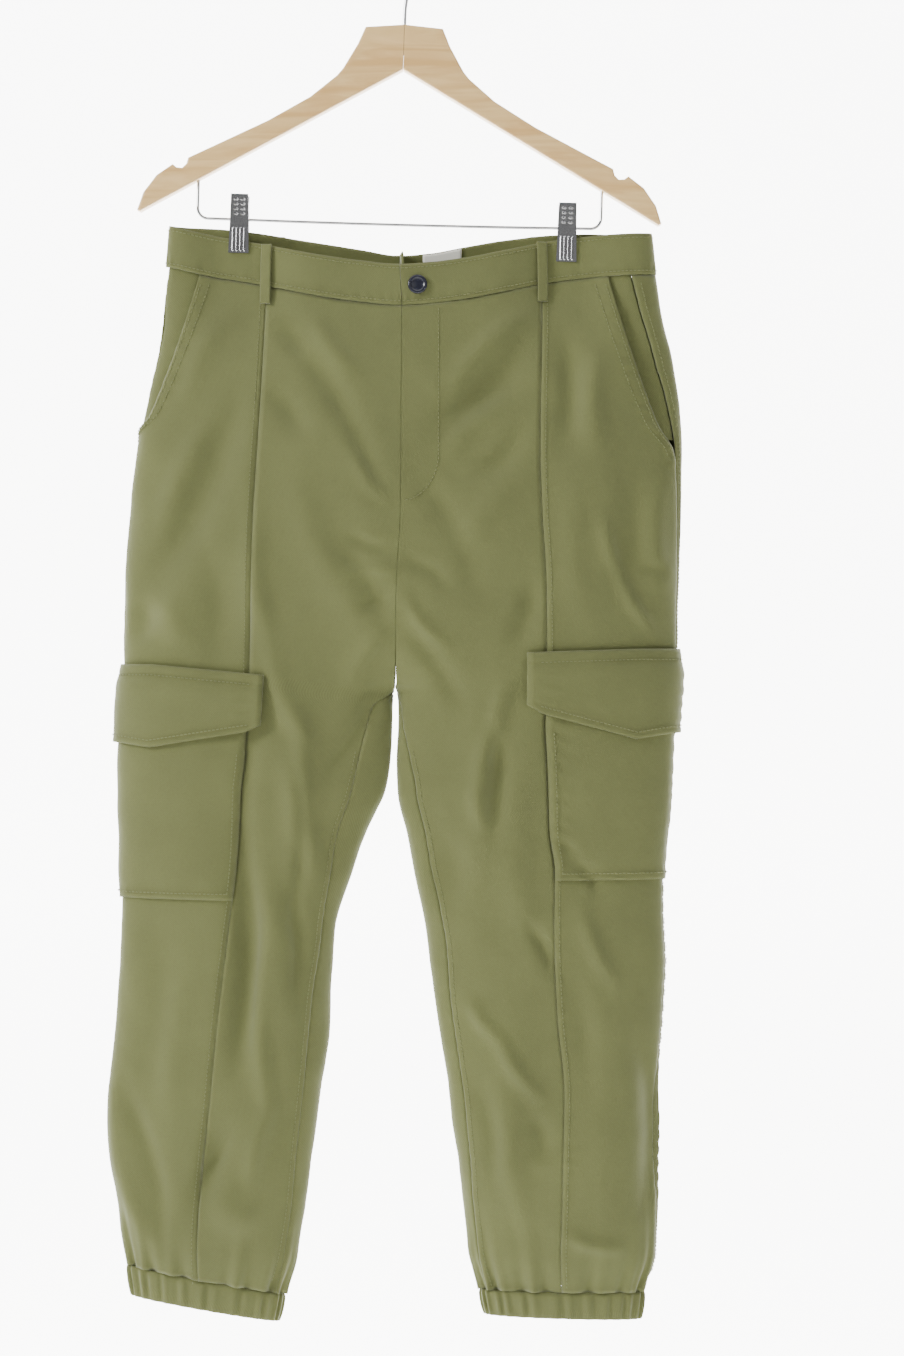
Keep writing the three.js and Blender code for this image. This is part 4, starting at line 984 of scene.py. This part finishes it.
class BuildHanger(bpy.types.Operator):
    """The hook, the bar, and the finishes of the wooden arms and clips"""

    bl_idname = "trousers.hanger"
    bl_label = "Hanger"

    def execute(self, context):
        for name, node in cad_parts.items():
            if name.startswith("hanger_arm"):
                self.finish(node, looks()["pine"])
            elif name.startswith("clip"):
                self.finish(node, looks()["nickel"])
        turned_wire("Hanger bar", "bar", tilt(self.bar_path()), BAR_RADIUS)
        turned_wire("Hanger hook", "hook", tilt(self.hook_path()), HOOK_WIRE_RADIUS)
        return {"FINISHED"}

    def finish(self, node, look):
        node.data.materials.clear()
        node.data.materials.append(look)

    def bar_path(self):
        """Down one leg, round a quarter circle, along the bar with a slight sag, and up again."""
        corner, low, wide, top = 9.0, -254.5, 170.6, -217.0
        turn = np.linspace(0, np.pi / 2, 14)
        left = np.stack([-wide + corner - corner * np.cos(turn),
                         low + corner - corner * np.sin(turn)], axis=-1)
        run = np.linspace(-wide + corner, wide - corner, 80)[1:-1]
        middle = np.stack([run, low - 1.2 * np.cos(np.pi * run / (2 * wide))
                           + 1.2 * np.cos(np.pi * (wide - corner) / (2 * wide))], axis=-1)
        right = left[::-1] * (-1, 1)
        legs = np.linspace(top, low + corner, 8)[:-1]
        flat = np.concatenate([np.stack([np.full(7, -wide), legs], -1), left, middle, right,
                               np.stack([np.full(7, wide), legs[::-1]], -1)])
        return upright(flat)

    def hook_path(self):
        """A straight stem, an easing bend, and an arc over the rail."""
        radius = 23.6
        angle = np.radians(np.linspace(-45, 205, 90))
        arc = np.stack([radius * np.cos(angle), -22 + radius * np.sin(angle)], axis=-1)
        start, meet = np.array([0.0, -80.0]), arc[0]
        u = np.linspace(0, 1, 30)[:, None]
        lower, upper = start + (0, 22), meet - 16 * np.array([0.707, 0.707])
        bend = ((1 - u) ** 3 * start + 3 * (1 - u) ** 2 * u * lower + 3 * (1 - u) * u**2 * upper
                + u**3 * meet)
        stem = np.stack([np.zeros(8), np.linspace(-112, -80, 9)[:-1]], axis=-1)
        flat = np.concatenate([stem, bend[:-1], arc])
        return upright(flat)


class BuildStage(bpy.types.Operator):
    """A pale seamless backdrop, soft lights and the camera"""

    # The backdrop stands 1.6 m behind the garment, so it hides it from a camera beyond that.

    bl_idname = "trousers.stage"
    bl_label = "Stage"

    def execute(self, context):
        scene = context.scene
        ground, _, _ = material("Floor", (0.9, 0.9, 0.89), 0.9)
        look, _, shader = material("Backdrop", (0.93, 0.93, 0.92), 0.9)
        shader.inputs["Emission Color"].default_value = (1, 1, 0.99, 1)
        shader.inputs["Emission Strength"].default_value = 7.0
        turn = np.linspace(0, np.pi / 2, 24)
        floor = np.stack([np.linspace(-5, 0.9, 12), np.full(12, -1.6)], axis=-1)
        cove = np.stack([0.9 + 0.7 * np.sin(turn), -0.9 - 0.7 * np.cos(turn)], axis=-1)
        back = np.stack([np.full(8, 1.6), np.linspace(-0.9, 4, 8)], axis=-1)
        x = np.array([-6.0, 6.0])
        for name, line, paint in (("Floor", floor, ground),
                                  ("Backdrop", np.concatenate([cove, back[1:]]), look)):
            points = np.stack([np.broadcast_to(x[None], (len(line), 2)),
                               np.broadcast_to(line[:, :1], (len(line), 2)),
                               np.broadcast_to(line[:, 1:], (len(line), 2))], axis=-1)
            new_object(name, points, grid_faces(len(line), 2, True), material=paint)
        world = bpy.data.worlds.new("Studio")
        scene.world = world
        world.use_nodes = True
        sky = world.node_tree.nodes["Background"]
        sky.inputs["Color"].default_value = (1, 1, 1, 1)
        sky.inputs["Strength"].default_value = 0.22
        for name, place, aim, size, power in (
            ("Key", (-2.5, -1.25, 0.6), (0, 0, -0.65), 0.9, 95),
            ("Fill", (1.6, -2.8, 0.9), (0, 0, -0.7), 2.2, 14),
            ("Back", (0, 0.6, 1.4), (0, 1.6, -0.9), 2.5, 60),
        ):
            data = bpy.data.lights.new(name, "AREA")
            data.size = size
            data.energy = power
            light = bpy.data.objects.new(name, data)
            light.location = place
            direction = np.array(aim) - np.array(place)
            yaw = math.atan2(direction[0], -direction[1])
            pitch = math.acos(-direction[2] / np.linalg.norm(direction))
            light.rotation_euler = (pitch, 0, yaw + math.pi)
            scene.collection.objects.link(light)
        data = bpy.data.cameras.new("Camera")
        data.lens = 81.6
        data.sensor_width = 36
        camera = bpy.data.objects.new("Camera", data)
        camera.location = (0.0378, -2.6, -0.6388)
        camera.rotation_euler = (math.pi / 2, 0, 0)
        scene.collection.objects.link(camera)
        scene.camera = camera
        return {"FINISHED"}


class TrousersPanel(bpy.types.Panel):
    """Lists the pieces that can be built"""

    bl_idname = "VIEW3D_PT_trousers"
    bl_label = "Trousers"
    bl_space_type = "VIEW_3D"
    bl_region_type = "UI"
    bl_category = "Trousers"

    def draw(self, context):
        for group in (context.scene.trousers_looks, context.scene.trousers_sizes):
            for name in group.__annotations__:
                self.layout.prop(group, name)
        for operator in OPERATORS:
            self.layout.operator(operator.bl_idname)


OPERATORS = (BuildPanels, BuildPockets, BuildWaist, BuildCuffs, BuildStitches, BuildHanger,
             BuildStage)
CLASSES = (TrousersLooks, TrousersSizes, *OPERATORS, TrousersPanel)


def register():
    for cls in CLASSES:
        bpy.utils.register_class(cls)
    bpy.types.Scene.trousers_looks = bpy.props.PointerProperty(type=TrousersLooks)
    bpy.types.Scene.trousers_sizes = bpy.props.PointerProperty(type=TrousersSizes)


def unregister():
    del bpy.types.Scene.trousers_sizes
    del bpy.types.Scene.trousers_looks
    for cls in reversed(CLASSES):
        bpy.utils.unregister_class(cls)


def main():
    register()
    for operator in OPERATORS:
        group, name = operator.bl_idname.split(".")
        getattr(getattr(bpy.ops, group), name)()


if __name__ == "__main__":
    main()
